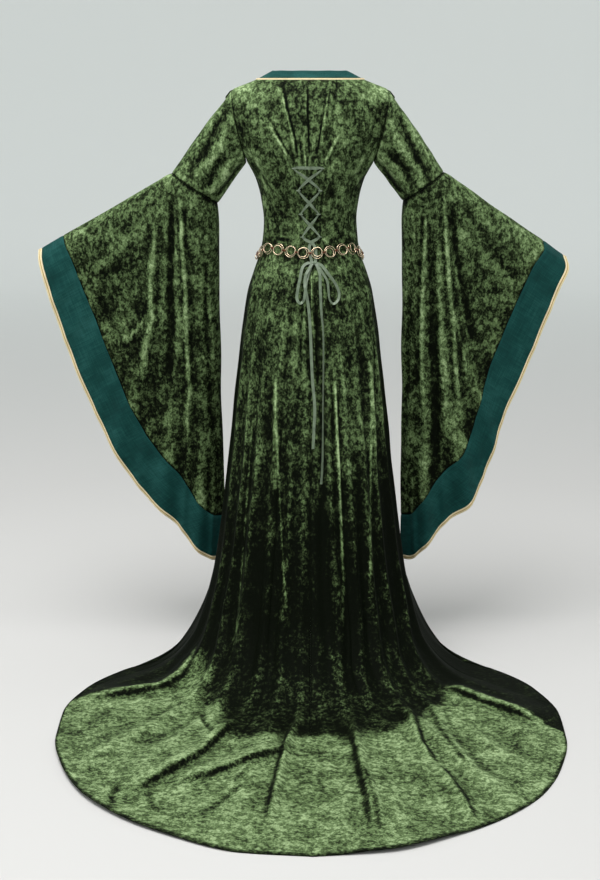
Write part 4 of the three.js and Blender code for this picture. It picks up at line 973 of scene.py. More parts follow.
def bell(name, u, v, off):
    """The bell's surface: its base moved out along its normal by a ridge exp(-4 away squared) for each fold, by
    gathers that die away below the elbow, and by a distance."""
    sizes = bpy.context.scene.dress_sizes
    step = bell_base(name, u + 0.004, v) - bell_base(name, u - 0.004, v)
    down = bell_base(name, u, v + 0.01) - bell_base(name, u, v - 0.01)
    normal = unit(np.cross(step, down)) * -SIDES[name]
    round_ = u % 1
    share = edge_share(round_)
    shift = np.where(round_ > 0.5, 0.04, 0.0)
    height = np.zeros_like(v)
    for at, width, depth, start in zip(*BELL_FOLDS[name].values()):
        grown = np.where(round_ > 0.5, smoothstep(v, 0.05 + start, 0.9), smoothstep(v, 0.62, 0.95))
        away = (share - at - shift - 0.006 * np.sin(7 * v + 9 * at)) / width
        height += depth * grown * np.exp(-4 * away**2)
    base = bell_base(name, u, v)
    gather = np.sin(2 * math.pi * (8.3 * share + 0.35 * np.sin(9 * share))) * np.exp(-v / 0.32)
    height = height * sizes.fold_depth + 0.9 * gather * smoothstep(v, 0, 0.1) * sizes.crease_depth
    seen = np.clip(np.sin(2 * math.pi * round_) * 5, 0, 1) * smoothstep(v, 0, 0.08) * (1 - smoothstep(v, 0.75, 1))
    height += seen * crease_height(base[..., 0], base[..., 2], BELL_CREASES[name]) * sizes.crease_depth
    calm = smoothstep(v, 0, 0.1) * (1 - smoothstep(v, 0.8, 1))
    height += 1.8 * meander(base[..., 0], base[..., 2], 34) * calm * sizes.crease_depth
    height += 2.5 * smoothstep(v, 0.004, 0.05) * np.exp(-v / 0.16)
    return base + normal * (height + off)[..., None]


def bell_length(name, u):
    """Length of the cloth from the elbow seam to the edge."""
    return np.linalg.norm(bell_base(name, u, np.ones_like(u)) - elbow_ring(name, u % 1), axis=-1)


def make_bell(name):
    """The velvet bell, its plain border and the trim along the border's edge, as strips of one surface."""
    thickness = millimetres("cloth_thickness")
    us = np.arange(BELL_COLUMNS) / BELL_COLUMNS
    length = bell_length(name, us)
    border_start = 1 - between(SLEEVE_EDGE, "border", edge_share(us)) / length
    binding_start = 1 - BINDING_WIDTH / length
    gap = SEAM_GAP / 2 / length

    def strip(part, slot, start, end, t, extra=0, ridge=None):
        """Closed wall of the bell between two shares of its length."""
        u = np.broadcast_to(us, (len(t), len(us)))
        v = start + (end - start) * np.asarray(t)[:, None]
        to_edge = np.minimum(v - start, end - v) * length
        raised = seam_groove(to_edge, 1.3, 2.2) + extra if ridge is None else ridge[:, None] * extra
        outer = bell(name, u, v, raised)
        inner = bell(name, u, v, -thickness - (0 if ridge is None else 1) * raised)
        normal = unit(outer - inner)
        stands_out = relief(outer, normal, 6, 1, True) / 3 + relief(outer, normal, 4, 0) / 4
        # Painted shade further down the bell, painted light on folds that stand out, painted shade in troughs and
        # beside the seams
        down_bell = smoothstep(HELD_HEIGHT - 400 - outer[..., 2], 0, 500)
        painted_shading = blend(0.46, 0.36, down_bell) + 0.3 * np.clip(stands_out, -1, 1.4) - 0.4 * bump(to_edge, 3)
        shell(part, outer, inner, slot, True, painted_shading)

    down = np.concatenate([np.linspace(0, 0.06, 5)[:-1], np.linspace(0.06, 0.98, 74), [0.99, 1]])
    strip("bell_sleeve_" + name, "velvet", 0.001 + 0 * gap, border_start - gap, down)
    across = np.concatenate([[0, 0.015], np.linspace(0.04, 0.96, 15), [0.985, 1]])
    strip("sleeve_border_" + name, "teal", border_start + gap, binding_start - gap, across)
    t = np.linspace(0, 1, 7)
    roundness = np.sqrt(np.clip(1 - (2 * t - 1) ** 4, 0, 1)) * 0.7 + 0.3
    strip("sleeve_binding_" + name, "cream", binding_start + gap, 1 + 0 * gap, t, 0.7, roundness)


def neck_point(around, t):
    """The neckline's band: degrees round from the middle of the back, and t from its seam (0) to its free edge (1).
    Its front dips by the cosine of the turn."""
    round_ = np.abs(wrapped(around))
    side = side_of(wrapped(around))
    level = blend(NECK_HEIGHT, BAND_TOP, t)
    angle = np.radians(180 - np.maximum(round_, 90))
    z = level - blend(NECK_DROP, BAND_DROP, t) * np.cos(angle)
    x = blend(NECK_HALF_WIDTH, BAND_HALF_WIDTH, t) * np.sin(angle)
    front = on_section(180 - side * turn_at(x, z), z)
    return np.where((round_ <= 90)[..., None], on_section(side * round_, level), front)


def neck_strip(part, slot, distances, offs, inner_offs):
    """A strip round the neck, with the distances off the cloth of its two faces. Its rows are shares of the band's
    width, or distances on both sides of the seam, which a first row below 0 shows."""
    around, distance = np.meshgrid(np.linspace(-180, 180, NECK_COLUMNS, endpoint=False), distances)
    width = np.linalg.norm(neck_point(around, 0 * around) - neck_point(around, 0 * around + 1), axis=-1)
    t = distance / width if distances[0] < 0 else distance
    step = neck_point(around + 0.4, t) - neck_point(around - 0.4, t)
    normal = unit(np.cross(step, neck_point(around, t + 0.01) - neck_point(around, t - 0.01)))
    normal = normal * np.where(normal[..., 2:] < 0, -1, 1)
    point = neck_point(around, t)
    wave = 0.5 * np.sin(np.radians(around) * 9) * np.clip(t, 0, 1)
    outer = point + normal * (np.asarray(offs)[:, None] + wave)[..., None]
    inner = point + normal * (np.asarray(inner_offs)[:, None] + wave)[..., None]
    return shell(part, outer, inner, slot, True)


def make_neck():
    """The plain band and the trim that covers its seam."""
    thickness = millimetres("cloth_thickness")
    shares = np.linspace(0.02, 1, 9)
    roll = -0.5 * smoothstep(shares, 0.85, 1)
    neck_strip("neck_band", "teal", shares, roll, roll - thickness)
    t = np.linspace(-1, 1, 9)
    rise = 0.55 + 1.6 * np.sqrt(np.clip(1 - t**2, 0, 1))
    neck_strip("neck_piping", "cream", 3.5 * t, rise, 0 * t + 0.5)


def same_way(groups):
    """True if the first cap runs each of its edges the other way from the quads beside it."""
    cap, quads = groups[1][0], groups[0]
    ahead = {(int(a), int(b)) for quad in quads[: len(cap)] for a, b in zip(quad, np.roll(quad, -1))}
    return (int(cap[0]), int(cap[1])) not in ahead


def oval(centre, axis_a, axis_b, radius_a, radius_b, wire, steps, sides):
    """A closed oval of wire in the plane of two unit axes: a circle of points round each step of the oval."""
    t = np.arange(steps)[:, None] * 2 * math.pi / steps
    cos, sin = np.cos(t), np.sin(t)
    centres = centre + radius_a * cos * axis_a + radius_b * sin * axis_b
    away = unit(radius_b * cos * axis_a + radius_a * sin * axis_b)
    out = np.broadcast_to(unit(np.cross(axis_a, axis_b)), away.shape)
    angle = np.arange(sides) * 2 * math.pi / sides
    ring = np.cos(angle)[None, :, None] * away[:, None] + np.sin(angle)[None, :, None] * out[:, None]
    points = (centres[:, None] + wire * ring).reshape(-1, 3)
    index = ringed(np.arange(len(points)).reshape(-1, sides))
    return points, outward(points, [grid_quads(np.concatenate([index, index[:1]], axis=0))])


def joined(parts):
    """Several closed surfaces as one set of points and polygons."""
    starts = np.cumsum([0] + [len(points) for points, _ in parts])
    groups = [group + start for (_, groups), start in zip(parts, starts) for group in groups]
    return np.concatenate([points for points, _ in parts]), groups


def through(route, samples):
    """Centripetal Catmull-Rom curve through the rows of a route, at even steps of its parameter. Its tangents use
    steps of the square root of the distance between points."""
    points = np.asarray(route, float)
    points = np.concatenate([[2 * points[0] - points[1]], points, [2 * points[-1] - points[-2]]])
    place = np.linspace(0, len(route) - 1, samples)
    i = np.clip(place.astype(int), 0, len(route) - 2)
    t = (place - i)[:, None]
    p0, p1, p2, p3 = (points[i + k] for k in range(4))
    spans = [np.linalg.norm((b - a)[:, :3], axis=1, keepdims=True) ** 0.5 for a, b in ((p0, p1), (p1, p2), (p2, p3))]
    d0, d1, d2 = (np.maximum(span, 1e-4) for span in spans)
    t1 = ((p1 - p0) / d0 - (p2 - p0) / (d0 + d1) + (p2 - p1) / d1) * d1
    t2 = ((p2 - p1) / d1 - (p3 - p1) / (d1 + d2) + (p3 - p2) / d2) * d1
    return p1 + t1 * t + (3 * (p2 - p1) - 2 * t1 - t2) * t**2 + (2 * (p1 - p2) + t1 + t2) * t**3


def ribbon(name, route, samples, turns=((0, 0), (1, 0))):
    """A flat ribbon along a route off the back: a rounded, slightly cupped section carried along the curve. Turns is
    a list of (share of the length, degrees about the curve). Returns the piece and its middle line in metres."""
    width, thickness = millimetres("lace_width"), millimetres("lace_thickness")
    way = through([(x, off, z, share) for x, z, off, share in route], samples)
    x, off, z = way[:, 0], way[:, 1], way[:, 2]
    centre = off_back(x, z, off)
    along = unit(np.gradient(centre, axis=0))
    across = unit(np.cross(along, off_back(x, z, off + 1) - centre))
    out = np.cross(across, along)
    length = run(centre)
    angle = np.radians(np.interp(length / length[-1], *zip(*turns)))[:, None]
    flat = across * np.cos(angle) + out * np.sin(angle)
    face = out * np.cos(angle) - across * np.sin(angle)
    share = np.clip(way[:, 3:], 0.35, 1)
    half, thick = width / 2 * share, thickness / 2 / np.sqrt(share)
    profile = np.array(RIBBON_PROFILE)
    ring = centre[:, None] + (half * flat)[:, None] * profile[:, :1] + (thick * face)[:, None] * profile[:, 1:]
    sides = len(profile)
    points = ring.reshape(-1, 3)
    index = np.arange(len(points)).reshape(-1, sides)
    closed = ringed(index)
    groups = [grid_quads(closed), index[:1, ::-1], index[-1:]]
    if not same_way(groups):
        groups[1:] = [group[:, ::-1] for group in groups[1:]]
    groups = outward(points, groups)
    spot = np.stack([np.tile(profile[:, 0] * width / 2, samples), np.repeat(length, sides)], axis=-1)
    uv = np.concatenate([spot[group].reshape(-1, 2) for group in groups]) * 0.001
    mesh = mesh_from(name, points, groups, uv)
    made = made_piece(name, mesh, "lace")
    return made, (centre - (0, 0, HELD_HEIGHT)) * 0.001


def axes_off(x, z, off):
    """A point off the cloth of the back, and the directions across, up along the cloth, and away from it."""
    centre = off_back(x, z, off)
    out = unit(off_back(x, z, off + 1) - centre)
    across = unit(np.array([1.0, 0, 0]) - out * out[0])
    return centre, across, np.cross(out, across), out


def make_knot():
    """The knot: an ellipsoid about its long axis with three soft wraps round it, closed by a pole at each end."""
    centre, across, up, out = axes_off(*KNOT)
    rows, sides = KNOT_ROWS, KNOT_SIDES
    t, a = np.meshgrid(np.linspace(0, math.pi, rows + 2)[1:-1], np.arange(sides) * 2 * math.pi / sides, indexing="ij")
    wrap = 1 + 0.09 * np.cos(4.2 * (t - math.pi / 2) * 2 + 0.8 * np.sin(a)) - 0.07 * np.cos(2 * a) * np.sin(t)
    x, r = np.cos(t) * KNOT_SIZE[0], np.sin(t) ** 0.75 * wrap
    y, z = r * np.cos(a) * KNOT_SIZE[1], r * np.sin(a) * KNOT_SIZE[2]
    grid = centre + x[..., None] * across + y[..., None] * up + z[..., None] * out
    ends = centre + np.array([[KNOT_SIZE[0]], [-KNOT_SIZE[0]]]) * across
    points = np.concatenate([grid.reshape(-1, 3), ends])
    index = np.arange(rows * sides).reshape(rows, sides)
    closed = ringed(index)
    first, last = closed[0], closed[-1]
    pole = np.full(sides, rows * sides)
    fans = [np.stack([pole, first[:-1], first[1:]], axis=-1), np.stack([pole + 1, last[1:], last[:-1]], axis=-1)]
    groups = outward(points, [grid_quads(closed)] + fans)
    uv_spot = np.concatenate([np.stack([a * 5, t * 9], axis=-1).reshape(-1, 2), [[0, 0], [0, 28]]]) * 0.001
    uv = np.concatenate([uv_spot[group].reshape(-1, 2) for group in groups])
    mesh = mesh_from("bow_knot", points, groups, uv)
    return made_piece("bow_knot", mesh, "lace")


def make_loop(name, x, z):
    """One lacing loop: an oval of cord that stands out of the princess seam."""
    centre, across, _, out = axes_off(x, z, LOOP_OFF)
    made_piece(name, mesh_from(name, *oval(centre, across, out, *LOOP_SIZE, LOOP_WIRE, 28, 8)), "lace")


def belt_line(turn):
    """The belt's middle line off the section, with its normal."""
    round_ = np.abs(wrapped(turn))
    z = between(BELT, "z", round_)
    base = on_section(turn, z)
    slope = on_section(turn, z + 1) - on_section(turn, z - 1)
    normal = unit(np.cross(on_section(turn + 0.5, z) - on_section(turn - 0.5, z), slope))
    flip = np.sum(normal[..., :2] * base[..., :2], axis=-1, keepdims=True) < 0
    normal = np.where(flip, -normal, normal)
    return base + normal * between(BELT, "off", round_)[..., None], normal


def belt_units():
    """Places of the rings at even steps along the belt: point, normal, and the directions along and up."""
    turns = 180 + np.linspace(0, 360, 721)
    line, _ = belt_line(turns)
    lengths = run(line)
    at = np.interp((np.arange(BELT_UNITS) + 0.5) * lengths[-1] / BELT_UNITS, lengths, turns)
    point, normal = belt_line(at)
    along = belt_line(at + 1)[0] - belt_line(at - 1)[0]
    along = unit(along - normal * np.sum(along * normal, axis=-1, keepdims=True))
    up = np.cross(normal, along)
    return point, normal, along, up * np.where(up[:, 2:] < 0, -1, 1)


def make_belt():
    """The ring belt: at each unit two rings of wire, the smaller one tilted in front of the other, and a small cluster
    of links that holds them to the next, each an oval of wire. The clasp is such a cluster too."""
    wire, radius = millimetres("ring_wire"), millimetres("ring_radius")
    point, normal, along, up = belt_units()

    def links(n):
        """Wires of the link between a ring and the next one."""
        m = (n + 1) % BELT_UNITS
        start, end = point[n] + along[n] * radius, point[m] - along[m] * radius
        way = unit(end - start)
        out = unit(normal[n] + normal[m] - way * np.dot(normal[n] + normal[m], way))
        side = np.cross(way, out)
        reach = np.linalg.norm(end - start) / 2 + 2.4
        middle = (start + end) / 2
        big = oval(middle, way, unit(out + 0.25 * side), reach, 3.5, 0.85, 22, 7)
        wraps = [
            oval(middle + way * shift, unit(side + tilt * way), unit(out - tilt * side), 2.3, 3.3, 0.7, 16, 6)
            for shift, tilt in ((-1.9, 0.3), (0.2, -0.2), (2.0, 0.15))
        ]
        return [big] + wraps

    def ring(n, size, slide, rise, tilt, lift):
        """One round wire at a place of the belt, turned about the upright by a tilt in degrees."""
        a = math.radians(tilt)
        flat = along[n] * math.cos(a) + normal[n] * math.sin(a)
        centre = point[n] + along[n] * slide + up[n] * rise + normal[n] * lift
        return oval(centre, flat, up[n], size, size, wire, 44, 8)

    for n in range(BELT_UNITS):
        slide, rise, tilt = RING_LIES[n % len(RING_LIES)]
        rings = [ring(n, radius, 0, 0, 0, -1.2), ring(n, INNER_RING, slide, rise, tilt, 1.3)]
        parts = rings + (links(n) if n < BELT_UNITS - 1 else [])
        name = f"belt_ring_{n + 1:02d}"
        points, groups = joined(parts)
        made = made_piece(name, mesh_from(name, points, groups), "brass")
        made.data.materials.append(material_of("copper"))
        of_rings = sum(len(group) for _, groups in rings for group in groups)
        index = (np.arange(len(made.data.polygons)) >= of_rings).astype(np.int32)
        made.data.polygons.foreach_set("material_index", index)
    points, groups = joined(links(BELT_UNITS - 1))
    made_piece("belt_clasp", mesh_from("belt_clasp", points, groups), "brass", "copper")


def add(tree, kind, inputs=None, **settings):
    """A node with its settings made and its inputs set, or linked where the value is a socket."""
    node = tree.nodes.new(kind)
    for key, value in settings.items():
        setattr(node, key, value)
    for key, value in (inputs or {}).items():
        if isinstance(value, bpy.types.NodeSocket):
            tree.links.new(value, node.inputs[key])
        else:
            node.inputs[key].default_value = value
    return node


def material_of(finish):
    """The material of a finish, made when it is first asked for."""
    name, build = FINISHES[finish]
    if name not in bpy.data.materials:
        material = bpy.data.materials.new(name)
        material.use_nodes = True
        material.node_tree.nodes.clear()
        build(material.node_tree, bpy.context.scene.dress_colours)
    return bpy.data.materials[name]


def own_place(tree):
    """Place on the object, in metres."""
    return add(tree, "ShaderNodeTexCoord").outputs["Object"]


def stretched(tree, vector, *scale):
    """A place with each of its axes scaled."""
    return add(tree, "ShaderNodeMapping", {"Vector": vector, "Scale": scale}).outputs[0]


def tinted(colour, rate, more=0.0):
    """A colour made darker or lighter."""
    return tuple(min(1, part * rate + more) for part in colour)


def noise(tree, vector, scale, detail=4.0, roughness=0.6, distortion=0.0):
    """A noise field's value from 0 to 1."""
    values = {"Vector": vector, "Scale": scale, "Detail": detail, "Roughness": roughness, "Distortion": distortion}
    return add(tree, "ShaderNodeTexNoise", values).outputs[0]


def maths(tree, operation, a, b):
    """The result of one sum on numbers or sockets."""
    return add(tree, "ShaderNodeMath", {0: a, 1: b}, operation=operation).outputs[0]


def times_add(tree, a, rate, b):
    """a times a rate, plus b."""
    return add(tree, "ShaderNodeMath", {0: a, 1: rate, 2: b}, operation="MULTIPLY_ADD").outputs[0]


def ramp(tree, value, *stops):
    """Colour by value: stops of (place, (red, green, blue))."""
    node = add(tree, "ShaderNodeValToRGB", {"Fac": value})
    elements = node.color_ramp.elements
    while len(elements) < len(stops):
        elements.new(0.5)
    for element, (place, colour) in zip(elements, stops):
        element.position = place
        element.color = (*colour, 1)
    return node.outputs["Color"]


def steep(tree, value, low, high, reach):
    """A smooth step from 0 to a reach between two values."""
    inputs = {"Value": value, "From Min": low, "From Max": high, "To Max": reach}
    return add(tree, "ShaderNodeMapRange", inputs, interpolation_type="SMOOTHSTEP").outputs[0]


def finish_off(tree, colour, height, depth, strength, **shine):
    """Closes a material: a Principled shader with its colour and a bump from the height, depth metres deep."""
    bump_node = add(tree, "ShaderNodeBump", {"Height": height, "Distance": depth, "Strength": strength})
    values = {key.replace("_", " "): value for key, value in shine.items()}
    shader = add(tree, "ShaderNodeBsdfPrincipled", {"Base Color": colour, "Normal": bump_node.outputs[0], **values})
    add(tree, "ShaderNodeOutputMaterial", {"Surface": shader.outputs[0]})


def velvet(tree, colours):
    """Crushed velvet. Three sizes of noise show where the pile lies over, the two finer ones stretched down the cloth.
    Light is painted on it where the cloth faces up, and the attribute of painted light and shade lightens or darkens
    it."""
    place = own_place(tree)
    grain = stretched(tree, place, 1, 1, 0.75)
    field = times_add(tree, noise(tree, place, 20, 4, 0.6, 0.2), 0.32, 0.245)
    field = maths(tree, "ADD", field, steep(tree, noise(tree, grain, 95, 3, 0.6, 0.2), 0.4, 0.6, 0.11))
    field = maths(tree, "ADD", field, steep(tree, noise(tree, grain, 240, 3, 0.6, 0.1), 0.38, 0.62, 0.08))
    # Painted light where the cloth faces up
    facing = add(tree, "ShaderNodeNewGeometry").outputs["Normal"]
    painted_top_light = steep(tree, add(tree, "ShaderNodeSeparateXYZ", {0: facing}).outputs["Z"], 0.45, 0.97, 0.08)
    # Painted light and shade, kept on the points as an attribute
    painted_shading = add(tree, "ShaderNodeAttribute", attribute_name="painted_shading").outputs["Fac"]
    value = times_add(tree, maths(tree, "SUBTRACT", painted_shading, 0.5), 0.3, maths(tree, "ADD", field, painted_top_light))
    # Tones from painted shade to painted light and sheen, through which the crushed pattern also runs
    shades = ((0.39, "deep"), (0.46, "dark"), (0.52, "middle"), (0.6, "light"), (0.74, "bright"))
    colour = ramp(tree, value, *((at, getattr(colours, "velvet_" + shade)) for at, shade in shades))
    sheen = {"Sheen_Weight": 0.01, "Sheen_Roughness": 0.4, "Sheen_Tint": (0.6, 0.8, 0.5, 1)}
    finish_off(tree, colour, field, 0.003, 0.6, Roughness=0.7, Specular_IOR_Level=0.035, **sheen)


def weave(tree, rate):
    """The UV map's place, and the height of a plain weave on it: two sines that cross, (1 + sin u sin v) / 2."""
    spot = add(tree, "ShaderNodeUVMap", uv_map="UVMap").outputs[0]
    parts = add(tree, "ShaderNodeSeparateXYZ", {0: spot})
    u, v = (maths(tree, "SINE", maths(tree, "MULTIPLY", parts.outputs[i], rate * 2), 0) for i in (0, 1))
    return spot, times_add(tree, maths(tree, "MULTIPLY", u, v), 0.5, 0.5)


def plain_cloth(tree, colours):
    """Plain matte cloth: a fine weave with soft uneven streaks of its warp and weft."""
    spot, threads = weave(tree, 1500)
    warp, weft = stretched(tree, spot, 300, 14, 1), stretched(tree, spot, 14, 300, 1)
    streaks = maths(tree, "ADD", noise(tree, warp, 1, 3), noise(tree, weft, 1, 3))
    soft = noise(tree, own_place(tree), 14, 4)
    value = times_add(tree, soft, 0.6, maths(tree, "MULTIPLY", streaks, 0.35))
    value = times_add(tree, threads, 0.1, value)
    plain = colours.plain
    colour = ramp(tree, value, (0.45, tinted(plain, 0.45)), (0.68, plain), (0.9, tinted(plain, 1.7, 0.01)))
    height = times_add(tree, soft, 2.0, threads)
    finish_off(tree, colour, height, 0.0005, 0.6, Roughness=0.75, Specular_IOR_Level=0.1, Sheen_Weight=0.02)


def trim(tree, colours):
    """Woven trim: cream with slanting twists and a gold line on each side of its middle."""
    spot, threads = weave(tree, 1100)
    parts = add(tree, "ShaderNodeSeparateXYZ", {0: spot})
    slant = maths(tree, "ADD", parts.outputs[0], parts.outputs[1])
    twist = times_add(tree, maths(tree, "SINE", maths(tree, "MULTIPLY", slant, 1900.0), 0.0), 0.5, 0.5)
    line = maths(tree, "ABSOLUTE", maths(tree, "SUBTRACT", parts.outputs[1], 0.0052), 0.0)
    gold = maths(tree, "LESS_THAN", line, 0.0013)
    value = times_add(tree, twist, 0.35, maths(tree, "MULTIPLY", threads, 0.25))
    value = times_add(tree, noise(tree, spot, 240, 3), 0.5, value)
    cream = ramp(tree, value, (0.2, tinted(colours.trim, 0.62)), (0.62, colours.trim))
    mixed = add(tree, "ShaderNodeMix", {"Factor": gold, 6: cream, 7: (*colours.gold, 1)}, data_type="RGBA")
    finish_off(tree, mixed.outputs[2], value, 0.0009, 0.8, Roughness=0.55, Specular_IOR_Level=0.4)


def satin(tree, colours):
    """Satin ribbon: fine ribs along its length, with soft lighter and darker stretches."""
    spot = add(tree, "ShaderNodeUVMap", uv_map="UVMap").outputs[0]
    ribs = noise(tree, stretched(tree, spot, 1500, 40, 1), 1, 2)
    value = times_add(tree, noise(tree, spot, 60, 3), 0.5, maths(tree, "MULTIPLY", ribs, 0.5))
    lace = colours.lace
    colour = ramp(tree, value, (0.36, tinted(lace, 0.55)), (0.5, lace), (0.66, tinted(lace, 1.45)))
    finish_off(tree, colour, value, 0.0004, 0.7, Roughness=0.38, Specular_IOR_Level=0.5, Sheen_Weight=0.1)


def gilt(tree, colours):
    """Polished gilt wire with light wear: noise varies its colour and dents it a little."""
    value = noise(tree, own_place(tree), 320, 4)
    colour = ramp(tree, value, (0.34, tinted(colours.ring, 0.4)), (0.52, colours.ring))
    finish_off(tree, colour, value, 0.0002, 0.4, Metallic=1.0, Roughness=0.26)


def copper(tree, colours):
    """Dark red-brown links, duller than the rings."""
    value = noise(tree, own_place(tree), 420, 4)
    colour = ramp(tree, value, (0.36, tinted(colours.link, 0.35)), (0.58, colours.link))
    finish_off(tree, colour, value, 0.0003, 0.5, Metallic=0.85, Roughness=0.38)


def ground(tree, colours):
    """The pale ground: matte, with a faint grain. Far off it is a little greyer, and glows so that it stays even."""
    place = own_place(tree)
    away = add(tree, "ShaderNodeVectorMath", {0: place}, operation="LENGTH").outputs["Value"]
    share = add(tree, "ShaderNodeMapRange", {"Value": away, "From Min": 2.5, "From Max": 8.5}).outputs[0]
    colour = ramp(tree, share, (0.0, colours.floor), (1.0, colours.backdrop))
    glow = {"Emission_Color": ramp(tree, share, (0.0, (0, 0, 0)), (1.0, (0.24, 0.25, 0.245))), "Emission_Strength": 1.0}
    finish_off(tree, colour, noise(tree, place, 60, 2), 0.0001, 0.1, Roughness=0.9, Specular_IOR_Level=0.1, **glow)


FINISHES = {
    "velvet": ("crushed_velvet", velvet),
    "teal": ("plain_weave", plain_cloth),
    "cream": ("cream_trim", trim),
    "lace": ("satin_lace", satin),
    "brass": ("gilt_wire", gilt),
    "copper": ("copper_links", copper),
    "ground": ("studio_ground", ground),
}


def length_property(name, description, default):
    """A length that a user may change."""
    return FloatProperty(name=name, description=description, default=default, unit="LENGTH", subtype="DISTANCE")


def share_property(name, description, low, high):
    """A share of the usual depth, which a user may change."""
    return FloatProperty(name=name, description=description, default=1.0, min=low, max=high, subtype="FACTOR")


class DressSizes(bpy.types.PropertyGroup):
    """Sizes that a user may change."""

    fold_depth: share_property("Fold depth", "Depth of the hanging folds, as a share of the usual one", 0.2, 1.3)
    crease_depth: share_property("Crease depth", "Depth of creases and gathers, as a share of the usual one", 0.0, 1.5)
    cloth_thickness: length_property("Cloth thickness", "Thickness of the velvet", 0.0015)
    lace_width: length_property("Lace width", "Width of the ribbon lace", 0.0074)
    lace_thickness: length_property("Lace thickness", "Thickness of the lace", 0.0012)
    ring_radius: length_property("Ring radius", "Radius of the belt's rings, to the middle of their wire", 0.014)
    ring_wire: length_property("Ring wire", "Half of the rings' wire", 0.00098)


def colour_property(name, description, default):
    """A colour that a user may change."""
    return FloatVectorProperty(name=name, description=description, default=default, min=0, max=1, subtype="COLOR")


class DressColours(bpy.types.PropertyGroup):
    """Colours that a user may change."""

    # The velvet's tones: the crushed pattern and the painted light and shade pick among them, so the darker ones also
    # stand for painted shade, the lighter ones for painted light and the bright one for a painted sheen
    velvet_deep: colour_property("Velvet, deep", "Velvet where its pile lies away", (0.0018, 0.003, 0.0011))
    velvet_dark: colour_property("Velvet, dark", "Velvet in half shade", (0.014, 0.021, 0.008))
    velvet_middle: colour_property("Velvet, middle", "Velvet in the light", (0.052, 0.08, 0.031))
    velvet_light: colour_property("Velvet, light", "Velvet that faces the light", (0.125, 0.188, 0.078))
    velvet_bright: colour_property("Velvet, bright", "Velvet where its pile shines", (0.38, 0.5, 0.26))
    plain: colour_property("Plain cloth", "The borders and the neck band", (0.0048, 0.05, 0.045))
    trim: colour_property("Trim", "The woven trim", (0.8, 0.69, 0.44))
    gold: colour_property("Gold line", "The line in the trim", (0.42, 0.26, 0.07))
    lace: colour_property("Lace", "The ribbon lace and its loops", (0.125, 0.168, 0.107))
    ring: colour_property("Rings", "The belt's rings", (0.82, 0.66, 0.46))
    link: colour_property("Links", "The belt's links", (0.22, 0.065, 0.035))
    floor: colour_property("Floor", "The ground", (0.59, 0.58, 0.568))
    backdrop: colour_property("Backdrop", "The ground far off", (0.53, 0.55, 0.54))


def power_property(name, description, default):
    """A light's power, which a user may change."""
    return FloatProperty(name=name, description=description, default=default, unit="POWER", subtype="POWER")


class DressStage(bpy.types.PropertyGroup):
    """The studio's lights."""

    overhead: power_property("Overhead light", "Power of the large light above", 235)
    fill: power_property("Fill light", "Power of the light beside the camera", 30)
    sky: FloatProperty(name="Sky", description="Strength of the light from all round", default=0.62, min=0, max=3)


class DRESS_OT_camera(bpy.types.Operator):
    """Places the camera behind the dress"""

    bl_idname = "dress.camera"
    bl_label = "Camera"

    def execute(self, context):
        camera = bpy.data.objects.new("view_from_behind", bpy.data.cameras.new("view_from_behind"))
        context.scene.collection.objects.link(camera)
        camera.data.lens = 67.09
        camera.data.sensor_width = 36
        camera.location = (0.0256, 4.2, 0.028)
        camera.rotation_euler = (math.radians(77.52), 0, math.radians(180))
        context.scene.camera = camera
        return {"FINISHED"}


class DRESS_OT_cords(bpy.types.Operator):
    """Makes the bow: its knot, two loops and two free ends"""

    bl_idname = "dress.cords"
    bl_label = "Bow"

    def execute(self, context):
        knot = make_knot()
        for side, route in BOW_LOOPS.items():
            made, path = ribbon("bow_loop_" + side, route, 120, BOW_TURNS[side])
        for side, route in LACE_ENDS.items():
            made, path = ribbon("lace_end_" + side, route, 200, END_TURNS[side])
        return {"FINISHED"}


class DRESS_OT_lacing(bpy.types.Operator):
    """Makes the loops and the lace that crosses between them"""

    bl_idname = "dress.lacing"
    bl_label = "Lacing"

    def execute(self, context):
        for i, z in enumerate(LOOPS["z"]):
            for side in SIDES:
                make_loop(f"lace_loop_{i + 1}_{side}", LOOPS[side][i], z)
        ribbon("lacing", LACING, 420)
        return {"FINISHED"}


class DRESS_OT_gown(bpy.types.Operator):
    """Makes the five panels of the gown"""

    bl_idname = "dress.gown"
    bl_label = "Gown"

    def execute(self, context):
        make_panel("back_side_right", -SIDE_PLACE, -PRINCESS_PLACE, SIDE_COLUMNS)
        make_panel("back_centre_right", -PRINCESS_PLACE, 0, CENTRE_COLUMNS)
        make_panel("back_centre_left", 0, PRINCESS_PLACE, CENTRE_COLUMNS)
        make_panel("back_side_left", PRINCESS_PLACE, SIDE_PLACE, SIDE_COLUMNS)
        make_panel("front", SIDE_PLACE, 360 - SIDE_PLACE, FRONT_COLUMNS, True)
        return {"FINISHED"}


class DRESS_OT_sleeves(bpy.types.Operator):
    """Makes both sleeves with their borders and trim"""

    bl_idname = "dress.sleeves"
    bl_label = "Sleeves"

    def execute(self, context):
        for side in SIDES:
            make_upper_sleeve(side)
            make_bell(side)
        return {"FINISHED"}


class DRESS_OT_neck(bpy.types.Operator):
    """Makes the neckline's band and trim"""

    bl_idname = "dress.neck"
    bl_label = "Neckline"

    def execute(self, context):
        make_neck()
        return {"FINISHED"}


class DRESS_OT_belt(bpy.types.Operator):
    """Makes the ring belt"""

    bl_idname = "dress.belt"
    bl_label = "Belt"

    def execute(self, context):
        make_belt()
        return {"FINISHED"}


